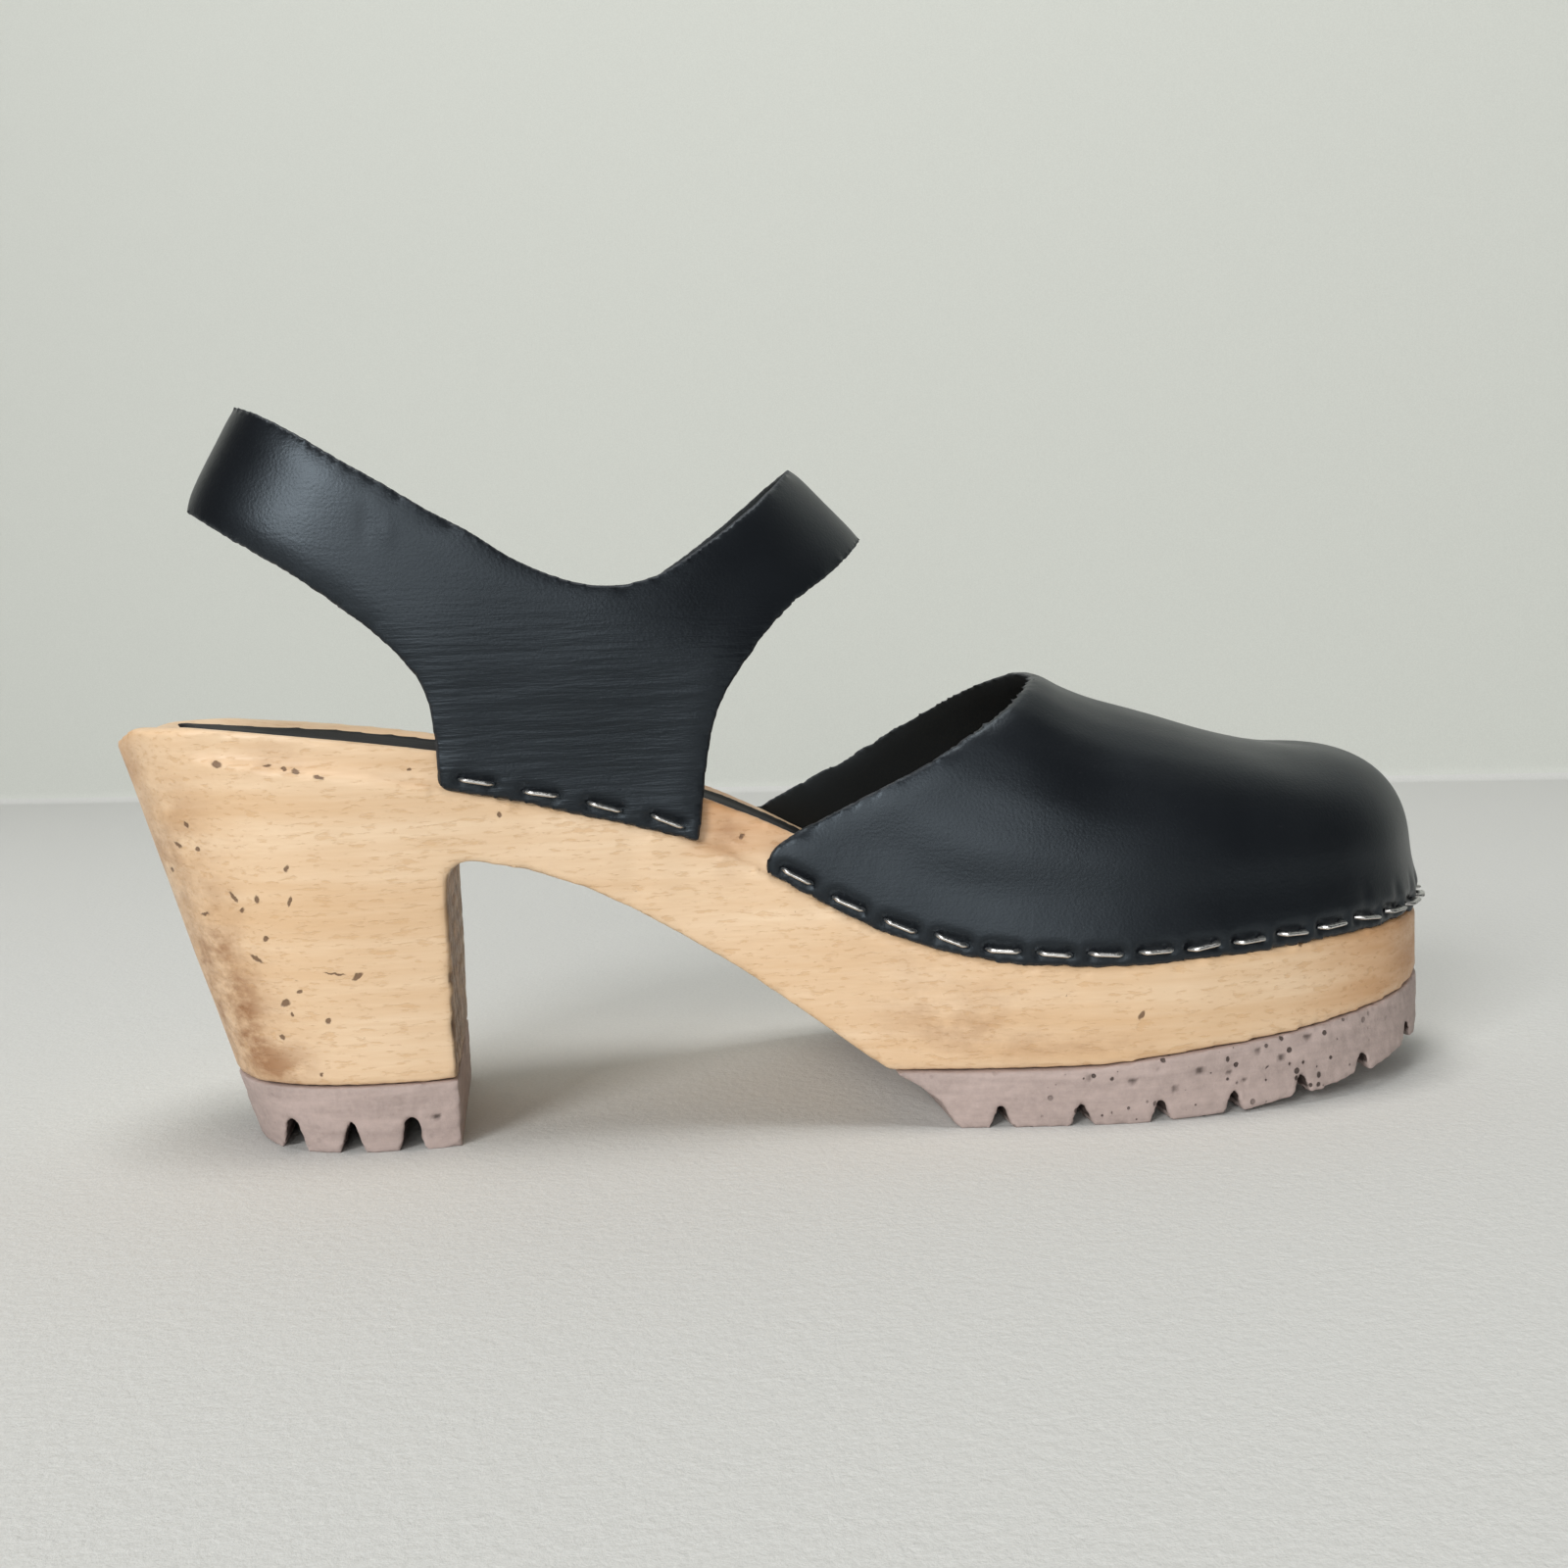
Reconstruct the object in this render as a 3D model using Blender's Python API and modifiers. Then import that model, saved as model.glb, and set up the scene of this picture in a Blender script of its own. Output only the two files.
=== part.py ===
"""Heeled clog for the left foot.

A wooden sole and heel, carved from one block, stand on a lugged rubber outsole
and a rubber top lift. A closed leather vamp and a looped ankle strap are
stapled into a rebate round the upper edge of the wood.

+X points to the toe, -Y to the inner side of the foot and +Z up. The origin
lies on the floor below the middle of the shoe. Stations are shares of the
sole's length, from 0 at the back of the seat to 1 at the tip of the toe.
"""

import math
from functools import lru_cache

import bmesh
import bpy
from mathutils import Matrix, Vector

MM = 0.001

# Plan of the sole
SOLE_LENGTH = 260 * MM
SEAT_WIDTH = 64.4 * MM
WAIST_WIDTH = 68 * MM
BALL_WIDTH = 94 * MM

# Side of the sole, heights above the floor
HEEL_HEIGHT = 80.2 * MM
BALL_HEIGHT = 37.5 * MM
FOOTBED_TOE_SPRING = 2.5 * MM
FOOTBED_DISH = 2.6 * MM
FOOTBED_RIM = 5 * MM

# Heel
HEEL_BREAST = 62.2 * MM
HEEL_BACK_RUN = 22.5 * MM
HEEL_SIDE_TAPER = 7 * MM
BREAST_FILLET = 4.5 * MM

# Rubber
TREAD_THICKNESS = 11 * MM
TREAD_TOE_SPRING = 8.8 * MM
TREAD_BOTTOM_SPRING = 7.4 * MM
TREAD_REAR_RUN = 11.5 * MM
LIFT_THICKNESS = 13 * MM
GROOVE_PITCH = 14.6 * MM
GROOVE_WIDTH = 4 * MM
GROOVE_DEPTH = 4.6 * MM
LIFT_GROOVE_PITCH = 11 * MM
LIFT_GROOVE_WIDTH = 4.6 * MM
LIFT_GROOVE_DEPTH = 6.2 * MM

# Leather and how it sits in the wood
LEATHER = 2 * MM
LEATHER_PROUD = 0.3 * MM
SEAM_GAP = 0.3 * MM
REBATE_HEIGHT = 8 * MM
BAND_RISE = 1 * MM
WAIST_RISE = 1.8 * MM
WAIST_INSET = 0.9 * MM

# Vamp
INSTEP_HEIGHT = 45.5 * MM
SPINE_SHIFT = 4.5 * MM
TOPLINE_DROP = 3 * MM

# Ankle strap
ANKLE_HEIGHT = 59 * MM
ANKLE_WIDTH = 66 * MM
STRAP_CORNER = 1.2 * MM
STRAP_SETTLE = 24 * MM

# Insole
INSOLE_THICKNESS = 1.2 * MM
INSOLE_MARGIN = 9.5 * MM

# Staples
STAPLE_LENGTH = 5 * MM
STAPLE_WIDTH = 1.3 * MM
STAPLE_THICKNESS = 0.8 * MM
STAPLE_RISE = 2.6 * MM
STAPLE_PITCH = 9.3 * MM
STAPLE_INSET = 5.5 * MM

# Stations of the vamp's rearmost section and of the point that its toe sections share
VAMP_REAR = 0.435
TOE_PIVOT = 0.892

# How far cutters reach to each side of the middle
CUT_REACH = 120 * MM

# Steepest bend that is still shaded smooth
SHARP_ANGLE = math.radians(40)

# How finely curves are drawn
OUTLINE_STEPS = 5
PROFILE_STEPS = 26
CURVE_STEPS = 3
DOME_STEPS = 8
RING_STEPS = 42

# Plan outline, inner side then outer side: station, share of the width, width
OUTLINE = (
    (0.000, 0.000, "seat"), (0.014, -0.186, "seat"), (0.047, -0.350, "seat"),
    (0.110, -0.463, "seat"), (0.195, -0.500, "seat"), (0.310, -0.480, "seat"),
    (0.427, -0.456, "waist"), (0.523, -0.375, "ball"), (0.620, -0.447, "ball"),
    (0.717, -0.493, "ball"), (0.795, -0.484, "ball"), (0.866, -0.444, "ball"),
    (0.925, -0.376, "ball"), (0.966, -0.278, "ball"), (0.993, -0.150, "ball"),
    (1.000, -0.005, "ball"), (0.988, 0.132, "ball"), (0.953, 0.258, "ball"),
    (0.897, 0.368, "ball"), (0.818, 0.456, "ball"), (0.727, 0.504, "ball"),
    (0.640, 0.505, "ball"),
    (0.543, 0.457, "ball"), (0.434, 0.544, "waist"), (0.318, 0.520, "seat"),
    (0.195, 0.500, "seat"), (0.110, 0.458, "seat"), (0.047, 0.345, "seat"),
    (0.014, 0.184, "seat"),
)

# Footbed edge: station, share of the heel's rise over the ball
FOOTBED = (
    (-0.02, 0.860), (0.000, 0.930), (0.012, 0.975), (0.030, 0.996), (0.055, 1.000),
    (0.140, 0.945), (0.240, 0.850), (0.330, 0.735), (0.420, 0.598), (0.450, 0.525),
    (0.500, 0.375), (0.543, 0.228), (0.581, 0.118), (0.625, 0.042), (0.680, 0.000),
    (0.780, 0.000), (1.020, 0.000),
)

# Toe spring of the footbed, the tread's top and the tread's bottom: station, shares
TOE_RISE = (
    (-0.02, 0.00, 0.00, 0.00), (0.680, 0.00, 0.00, 0.00), (0.740, 0.02, 0.16, 0.00),
    (0.790, 0.12, 0.26, 0.05), (0.840, 0.38, 0.38, 0.22), (0.890, 0.68, 0.56, 0.46),
    (0.950, 0.90, 0.80, 0.84), (1.000, 1.00, 1.02, 1.24), (1.030, 1.02, 1.12, 1.40),
)

# Ledge below the footbed's edge: station, share of the rebate's height
LEDGE_DROP = (
    (-0.02, 0.20), (0.000, 0.22), (0.070, 0.54), (0.140, 0.72), (0.240, 0.84),
    (0.420, 1.07), (0.465, 1.22), (0.510, 1.34), (0.543, 1.30), (0.581, 1.15),
    (0.625, 1.08), (0.680, 1.00), (1.020, 0.98),
)

# Rebate depth: station, share of its full depth; below nothing it leaves no step
REBATE_FADE = (
    (-0.02, -0.90), (0.045, -0.90), (0.072, 0.10), (0.130, 0.55), (0.200, 0.92),
    (0.240, 1.00), (1.020, 1.00),
)

# Underside of the arch: station, share of the height between tread and seat
ARCH = (
    (0.256, 0.620), (0.295, 0.588), (0.336, 0.530), (0.369, 0.465), (0.403, 0.387),
    (0.444, 0.284), (0.492, 0.148), (0.530, 0.038), (0.546, 0.000),
)

# Rear slope of the tread: share of its run, share of its thickness
TREAD_REAR = ((0.00, 1.00), (0.36, 0.76), (0.72, 0.46), (0.93, 0.06), (1.00, 0.00))

# Instep line of the last: station, share of the instep height over the footbed
INSTEP = (
    (0.420, 1.760), (0.508, 1.604), (0.562, 1.444), (0.620, 1.242), (0.659, 1.123),
    (0.694, 0.992), (0.725, 0.905), (0.760, 0.834), (0.791, 0.773), (0.826, 0.698),
    (0.860, 0.634), (0.892, 0.592), (1.000, 0.575),
)

# Fullness of the vamp's sections: station, exponent of the section's curve
FULLNESS = ((0.420, 2.00), (0.580, 2.05), (0.700, 2.18), (0.800, 2.40), (0.880, 2.60), (1.000, 2.60))

# Topline of the vamp: station, share of the instep height over the footbed
TOPLINE = (
    (0.4632, -0.260), (0.4645, -0.200), (0.4690, -0.135), (0.4760, -0.085),
    (0.4880, -0.010), (0.5329, 0.254), (0.5849, 0.537), (0.6419, 0.816), (0.6950, 1.032),
)

# Ankle of the last: share of the ankle height over the seat, back station,
# front station, share of the ankle width, fullness behind, fullness in front
ANKLE = (
    (-0.62, 0.050, 0.690, 0.97, 8.0, 8.0),
    (-0.20, 0.035, 0.690, 0.98, 6.0, 6.0),
    (0.00, 0.028, 0.670, 0.99, 3.6, 3.4),
    (0.25, 0.030, 0.622, 1.00, 2.8, 2.3),
    (0.47, 0.045, 0.574, 1.00, 2.7, 2.1),
    (0.69, 0.066, 0.526, 0.98, 2.7, 2.1),
    (1.00, 0.105, 0.459, 0.92, 2.7, 2.1),
    (1.20, 0.129, 0.420, 0.88, 2.7, 2.1),
)
RING_HEIGHTS = (-0.62, -0.48, -0.34, -0.20, -0.08, 0.04, 0.16, 0.28, 0.40, 0.52, 0.64, 0.76, 0.88, 1.00, 1.12, 1.20)

# Side pattern of the ankle strap: station, share of the ankle height over the seat
STRAP_TOP = (
    (-0.005, 1.260), (0.100, 1.000), (0.140, 0.905), (0.182, 0.785), (0.213, 0.700),
    (0.241, 0.620), (0.268, 0.553), (0.298, 0.463), (0.332, 0.397), (0.362, 0.374),
    (0.396, 0.402), (0.430, 0.490), (0.464, 0.597), (0.498, 0.722), (0.512, 0.775),
    (0.560, 0.960),
)
STRAP_FRONT = (
    (0.640, 0.790), (0.562, 0.525), (0.541, 0.455), (0.520, 0.385), (0.494, 0.308), (0.474, 0.230),
    (0.452, 0.115), (0.435, 0.000), (0.426, -0.140), (0.421, -0.290),
)
STRAP_REAR = (
    (0.2385, -0.150), (0.2380, -0.070), (0.2360, 0.030), (0.2280, 0.125), (0.2120, 0.210),
    (0.190, 0.302), (0.165, 0.390), (0.137, 0.478), (0.100, 0.580), (0.061, 0.690), (-0.040, 0.960),
)

# Colours of the finished pieces: red, green, blue, roughness, metallic
FINISHES = {
    "wood": (0.74, 0.55, 0.34, 0.60, 0.0),
    "rubber": (0.38, 0.33, 0.32, 0.85, 0.0),
    "leather": (0.012, 0.013, 0.018, 0.45, 0.0),
    "sock": (0.015, 0.015, 0.016, 0.70, 0.0),
    "steel": (0.72, 0.72, 0.71, 0.25, 1.0),
}

WIDTHS = {"seat": SEAT_WIDTH, "waist": WAIST_WIDTH, "ball": BALL_WIDTH}


def clear_scene():
    """Remove every object that the file starts with."""
    for obj in list(bpy.data.objects):
        bpy.data.objects.remove(obj, do_unlink=True)


def new_collection(name):
    """A collection linked to the scene."""
    collection = bpy.data.collections.new(name)
    bpy.context.scene.collection.children.link(collection)
    return collection


def new_material(name):
    """A Principled material with one of the finishes."""
    red, green, blue, roughness, metallic = FINISHES[name]
    material = bpy.data.materials.new(name)
    material.use_nodes = True
    shader = material.node_tree.nodes["Principled BSDF"]
    shader.inputs["Base Color"].default_value = (red, green, blue, 1.0)
    shader.inputs["Roughness"].default_value = roughness
    shader.inputs["Metallic"].default_value = metallic
    return material


def line_at(table, station, column=1):
    """Value of one column at a station, on a cubic through the table's rows."""
    rows = [(row[0], row[column]) for row in table]
    if station <= rows[0][0]:
        return rows[0][1]
    if station >= rows[-1][0]:
        return rows[-1][1]
    index = next(i for i in range(len(rows) - 1) if station <= rows[i + 1][0])

    def slope(i):
        low, high = max(i - 1, 0), min(i + 1, len(rows) - 1)
        return (rows[high][1] - rows[low][1]) / (rows[high][0] - rows[low][0])

    start, end = rows[index], rows[index + 1]
    span = end[0] - start[0]
    t = (station - start[0]) / span
    return ((2 * t**3 - 3 * t**2 + 1) * start[1] + (t**3 - 2 * t**2 + t) * span * slope(index)
            + (3 * t**2 - 2 * t**3) * end[1] + (t**3 - t**2) * span * slope(index + 1))


def ease(value):
    """Smooth step from 0 to 1."""
    value = min(max(value, 0.0), 1.0)
    return value * value * (3 - 2 * value)


def to_x(length):
    """World X of a length measured from the back of the seat."""
    return length - SOLE_LENGTH / 2


def footbed_height(length):
    """Height of the footbed's edge."""
    station = length / SOLE_LENGTH
    rise = (HEEL_HEIGHT - BALL_HEIGHT) * line_at(FOOTBED, station)
    return BALL_HEIGHT + rise + FOOTBED_TOE_SPRING * line_at(TOE_RISE, station, 1)


def ledge_height(length):
    """Height of the ledge that the leather stands on."""
    return footbed_height(length) - REBATE_HEIGHT * line_at(LEDGE_DROP, length / SOLE_LENGTH)


def tread_top_height(length):
    """Height of the joint between the wood and the forefoot's rubber."""
    return TREAD_THICKNESS + TREAD_TOE_SPRING * line_at(TOE_RISE, length / SOLE_LENGTH, 2)


def tread_bottom_height(length):
    """Height of the forefoot rubber's lowest surface."""
    return max(TREAD_BOTTOM_SPRING * line_at(TOE_RISE, length / SOLE_LENGTH, 3), 0.0)


@lru_cache(maxsize=None)
def outline_points():
    """Plan outline as (length, y) pairs, from the heel along the inner side."""
    rows = [(station * SOLE_LENGTH, share * WIDTHS[width]) for station, share, width in OUTLINE]
    count = len(rows)
    points = []
    for i in range(count):
        before, start, end, after = (rows[(i + k) % count] for k in (-1, 0, 1, 2))
        for step in range(OUTLINE_STEPS):
            t = step / OUTLINE_STEPS
            points.append(tuple(
                0.5 * (2 * b + (c - a) * t + (2 * a - 5 * b + 4 * c - d) * t**2
                       + (3 * b - a - 3 * c + d) * t**3)
                for a, b, c, d in zip(before, start, end, after)))
    return points


@lru_cache(maxsize=None)
def outline_normals():
    """Unit plan normals that point out of the outline."""
    points = outline_points()
    normals = []
    for i in range(len(points)):
        before, after = points[i - 1], points[(i + 1) % len(points)]
        along = Vector((after[0] - before[0], after[1] - before[1])).normalized()
        normals.append((along.y, -along.x))
    return normals


def inset_outline(inset_at):
    """Outline moved inwards by inset_at(length) along its normals."""
    return [(length - nx * inset_at(length), y - ny * inset_at(length))
            for (length, y), (nx, ny) in zip(outline_points(), outline_normals())]


@lru_cache(maxsize=None)
def leather_outline():
    """Outline of the leather's outer face, just proud of the wood's side."""
    return inset_outline(lambda length: -LEATHER_PROUD)


@lru_cache(maxsize=None)
def edge_y(length, side):
    """Y of the leather's outline at a length; side is -1 inside and 1 outside."""
    points = leather_outline()
    tip = max(range(len(OUTLINE)), key=lambda i: OUTLINE[i][0]) * OUTLINE_STEPS
    half = points[:tip + 1] if side < 0 else [points[0]] + points[:tip - 1:-1]
    for (x0, y0), (x1, y1) in zip(half, half[1:]):
        if x0 <= length <= x1:
            return y0 + (y1 - y0) * (length - x0) / (x1 - x0)
    return half[0][1] if length < half[0][0] else half[-1][1]


def block_point(length, y, height):
    """Point of the wooden block's side: the heel narrows towards the floor."""
    depth = (HEEL_HEIGHT - height) / HEEL_HEIGHT
    taper = 1 - ease((length - HEEL_BREAST) / HEEL_BREAST)
    side_scale = 1 - 2 * HEEL_SIDE_TAPER / SEAT_WIDTH * depth * taper
    if length < HEEL_BREAST:
        length = HEEL_BREAST - (HEEL_BREAST - length) * (1 - HEEL_BACK_RUN / HEEL_BREAST * depth)
    return Vector((to_x(length), y * side_scale, height))


def add_mesh(name, vertices, faces, collection):
    """A mesh object with merged doubles and outward faces."""
    mesh = bpy.data.meshes.new(name)
    mesh.from_pydata([tuple(v) for v in vertices], [], faces)
    work = bmesh.new()
    work.from_mesh(mesh)
    bmesh.ops.remove_doubles(work, verts=work.verts, dist=0.00001)
    bmesh.ops.recalc_face_normals(work, faces=work.faces)
    work.to_mesh(mesh)
    work.free()
    obj = bpy.data.objects.new(name, mesh)
    collection.objects.link(obj)
    return obj


def add_block(name, outline, bottom, top, collection):
    """The block between two heights that has an outline in plan."""
    count = len(outline)
    vertices = [block_point(x, y, height) for height in (bottom, top) for x, y in outline]
    faces = [(i, (i + 1) % count, count + (i + 1) % count, count + i) for i in range(count)]
    faces += [tuple(range(count))[::-1], tuple(range(count, 2 * count))]
    return add_mesh(name, vertices, faces, collection)


def add_side_prism(name, profile, collection, fall=0.0):
    """A prism right across the shoe with the profile as its side view; fall is its slope outwards."""
    mesh = bpy.data.meshes.new(name)
    work = bmesh.new()
    corners = [work.verts.new((to_x(x), -CUT_REACH, z + fall * CUT_REACH)) for x, z in profile]
    grown = bmesh.ops.extrude_face_region(work, geom=[work.faces.new(corners)])
    moved = [item for item in grown["geom"] if isinstance(item, bmesh.types.BMVert)]
    bmesh.ops.translate(work, verts=moved, vec=(0.0, 2 * CUT_REACH, -2 * fall * CUT_REACH))
    bmesh.ops.recalc_face_normals(work, faces=work.faces)
    work.to_mesh(mesh)
    work.free()
    obj = bpy.data.objects.new(name, mesh)
    collection.objects.link(obj)
    return obj


def cut(obj, cutter, operation):
    """Add an exact Boolean and hide its cutter."""
    cutter.hide_render = True
    cutter.display_type = "WIRE"
    boolean = obj.modifiers.new(cutter.name, "BOOLEAN")
    boolean.operation = operation
    boolean.solver = "EXACT"
    boolean.object = cutter


def add_shell(name, vertices, faces, collection):
    """A leather shell whose outer surface is given."""
    obj = add_mesh(name, vertices, faces, collection)
    wall = obj.modifiers.new("wall", "SOLIDIFY")
    wall.thickness = LEATHER
    wall.offset = -1
    wall.use_even_offset = True
    wall.use_quality_normals = True
    return obj


def spread(start, end, steps):
    """Evenly spaced values from start to end."""
    return [start + (end - start) * i / steps for i in range(steps + 1)]


def smooth_curve(points):
    """Points of a smooth curve through the given ones."""
    curve = []
    for i in range(len(points) - 1):
        before, start, end = points[max(i - 1, 0)], points[i], points[i + 1]
        after = points[min(i + 2, len(points) - 1)]
        for step in range(CURVE_STEPS):
            t = step / CURVE_STEPS
            curve.append(tuple(
                0.5 * (2 * b + (c - a) * t + (2 * a - 5 * b + 4 * c - d) * t**2
                       + (3 * b - a - 3 * c + d) * t**3)
                for a, b, c, d in zip(before, start, end, after)))
    return curve + [points[-1]]


def add_footbed_sheet(name, low_offset, high_offset, collection):
    """A closed body that follows the dished footbed between two offsets."""
    shares = (-1.0, -0.9, -0.78, -0.62, 0.0, 0.62, 0.78, 0.9, 1.0)
    lengths = spread(-0.01 * SOLE_LENGTH, 1.01 * SOLE_LENGTH, PROFILE_STEPS)
    low, high = [], []
    for length in lengths:
        inside = min(max(length, 0.0), SOLE_LENGTH)
        from_end = min(length, SOLE_LENGTH - length) - FOOTBED_RIM / 2
        reach = ease(from_end / (4 * FOOTBED_RIM))
        columns = [(-CUT_REACH, 0.0)]
        for share in shares:
            half = max(abs(edge_y(inside, 1 if share > 0 else -1)) - FOOTBED_RIM, FOOTBED_RIM)
            columns.append((share * half, FOOTBED_DISH * ease((1 - abs(share)) / 0.35) * reach))
        for y, dip in columns + [(CUT_REACH, 0.0)]:
            height = footbed_height(length) - dip
            low.append(Vector((to_x(length), y, height + low_offset)))
            high.append(Vector((to_x(length), y, height + high_offset)))
    row = len(shares) + 2
    count = len(low)
    faces = []
    for i in range(len(lengths) - 1):
        for j in range(row - 1):
            a, b, c, d = i * row + j, i * row + j + 1, (i + 1) * row + j + 1, (i + 1) * row + j
            faces += [(a, b, c, d), (count + d, count + c, count + b, count + a)]
    rim = ([j for j in range(row)] + [i * row + row - 1 for i in range(1, len(lengths))]
           + [count - 1 - j for j in range(1, row)] + [i * row for i in range(len(lengths) - 2, 0, -1)])
    faces += [(a, b, count + b, count + a) for a, b in zip(rim, rim[1:] + rim[:1])]
    return add_mesh(name, low + high, faces, collection)


def wood_profile():
    """Side view of the wood below the footbed."""
    tread_rear = ARCH[-1][0] * SOLE_LENGTH
    arch = [(station * SOLE_LENGTH, TREAD_THICKNESS + (HEEL_HEIGHT - TREAD_THICKNESS) * share)
            for station, share in ARCH]
    arch[0] = (HEEL_BREAST + BREAST_FILLET, arch[0][1])
    crown = arch[0][1]
    fillet = [(HEEL_BREAST + BREAST_FILLET * (1 - math.cos(a)), crown - BREAST_FILLET * (1 - math.sin(a)))
              for a in spread(0.0, math.pi / 2, 4)]
    front = [(x, tread_top_height(x)) for x in spread(tread_rear, 1.02 * SOLE_LENGTH, PROFILE_STEPS // 2)]
    start = [(-0.05 * SOLE_LENGTH, LIFT_THICKNESS), (HEEL_BREAST, LIFT_THICKNESS)]
    top = HEEL_HEIGHT + 2 * FOOTBED_DISH
    return start + fillet + arch[1:-1] + front + [(1.02 * SOLE_LENGTH, top), (-0.05 * SOLE_LENGTH, top)]


def rebate_depth(length):
    """Depth of the rebate, a little below nothing where it has run out."""
    return (LEATHER + SEAM_GAP) * line_at(REBATE_FADE, length / SOLE_LENGTH)


def rebate_profile():
    """Side view of everything above the ledge."""
    ledge = [(x, ledge_height(x)) for x in spread(-0.02 * SOLE_LENGTH, 1.02 * SOLE_LENGTH, 2 * PROFILE_STEPS)]
    return ledge + [(1.02 * SOLE_LENGTH, 2 * HEEL_HEIGHT), (-0.02 * SOLE_LENGTH, 2 * HEEL_HEIGHT)]


def build_wood_sole(parts, cutters):
    """Sole and heel: a block, cut to its side view, dished and rebated."""
    sole = add_block("wood_sole", outline_points(), 0.0, 1.1 * HEEL_HEIGHT, parts)
    cut(sole, add_side_prism("side_view", wood_profile(), cutters), "INTERSECT")
    above = add_footbed_sheet("above_footbed", 0.0, 2 * HEEL_HEIGHT, cutters)
    cut(sole, above, "DIFFERENCE")
    core = add_block("rebate_core", inset_outline(rebate_depth), 0.0, 1.1 * HEEL_HEIGHT, cutters)
    rebate = add_side_prism("rebate", rebate_profile(), cutters)
    cut(rebate, core, "DIFFERENCE")
    cut(sole, rebate, "DIFFERENCE")
    return sole


def groove(middle, bottom, width, depth, flat):
    """Corners of one groove across the tread, from the rear."""
    return [(middle - width / 2, bottom), (middle - flat / 2, bottom + depth),
            (middle + flat / 2, bottom + depth), (middle + width / 2, bottom)]


def build_outsole(parts, cutters):
    """Rubber under the forefoot with V-shaped grooves right across it."""
    rear = ARCH[-1][0] * SOLE_LENGTH + SEAM_GAP
    front = 1.02 * SOLE_LENGTH
    thickness = TREAD_THICKNESS - SEAM_GAP
    lower = [(rear + TREAD_REAR_RUN * run, thickness * share) for run, share in TREAD_REAR]
    middle = lower[-1][0] + GROOVE_PITCH / 2
    while middle < SOLE_LENGTH - GROOVE_WIDTH:
        bottom = tread_bottom_height(middle)
        lower += groove(middle, bottom, GROOVE_WIDTH, GROOVE_DEPTH, GROOVE_WIDTH / 8)
        middle += GROOVE_PITCH
    lower.append((front, tread_bottom_height(front)))
    upper = [(x, tread_top_height(x) - SEAM_GAP) for x in spread(front, rear, PROFILE_STEPS // 2)]
    tread = add_block("forefoot_outsole", outline_points(), -TREAD_THICKNESS, 3 * TREAD_THICKNESS, parts)
    cut(tread, add_side_prism("tread_view", lower + upper[:-1], cutters), "INTERSECT")
    return tread


def build_top_lift(parts, cutters):
    """Rubber under the heel with three grooves across it."""
    lower = [(-0.05 * SOLE_LENGTH, 0.0)]
    middle_of_lift = (HEEL_BACK_RUN + HEEL_BREAST) / 2
    for index in (-1, 0, 1):
        middle = middle_of_lift + index * LIFT_GROOVE_PITCH
        flat = LIFT_GROOVE_WIDTH * (0.15 if index == 0 else 0.42)
        lower += groove(middle, 0.0, LIFT_GROOVE_WIDTH, LIFT_GROOVE_DEPTH, flat)
    top = LIFT_THICKNESS - SEAM_GAP
    lower += [(HEEL_BREAST, 0.0), (HEEL_BREAST, top), (-0.05 * SOLE_LENGTH, top)]
    lift = add_block("heel_top_lift", outline_points(), -LIFT_THICKNESS, 2 * LIFT_THICKNESS, parts)
    cut(lift, add_side_prism("lift_view", lower, cutters), "INTERSECT")
    return lift


def build_insole(parts, cutters):
    """Thin sock on the footbed, short of the wood's edge."""
    outline = inset_outline(lambda length: LEATHER + SEAM_GAP + INSOLE_MARGIN)
    insole = add_block("insole", outline, 0.0, 2 * HEEL_HEIGHT, parts)
    sheet = add_footbed_sheet("insole_sheet", SEAM_GAP, SEAM_GAP + INSOLE_THICKNESS, cutters)
    cut(insole, sheet, "INTERSECT")
    return insole


def crest(length):
    """Highest point of the last at a length."""
    height = footbed_height(length) + INSTEP_HEIGHT * line_at(INSTEP, length / SOLE_LENGTH)
    return Vector((to_x(length), -SPINE_SHIFT, height))


def vamp_rows():
    """Base lengths and sides round the vamp, with the crest that each looks to."""
    steps = 17
    pivot = TOE_PIVOT * SOLE_LENGTH
    lengths = spread(VAMP_REAR * SOLE_LENGTH, pivot, steps)
    inner = [(x, edge_y(x, -1), crest(x)) for x in lengths]
    outer = [(x, edge_y(x, 1), crest(x)) for x in reversed(lengths)]
    near_tip = [p for p in leather_outline() if p[0] > pivot]
    kept = [p for i, p in enumerate(near_tip) if i % 2 == 1]
    toe = [(x, y, crest(pivot)) for x, y in kept]
    return inner + toe + outer


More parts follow.
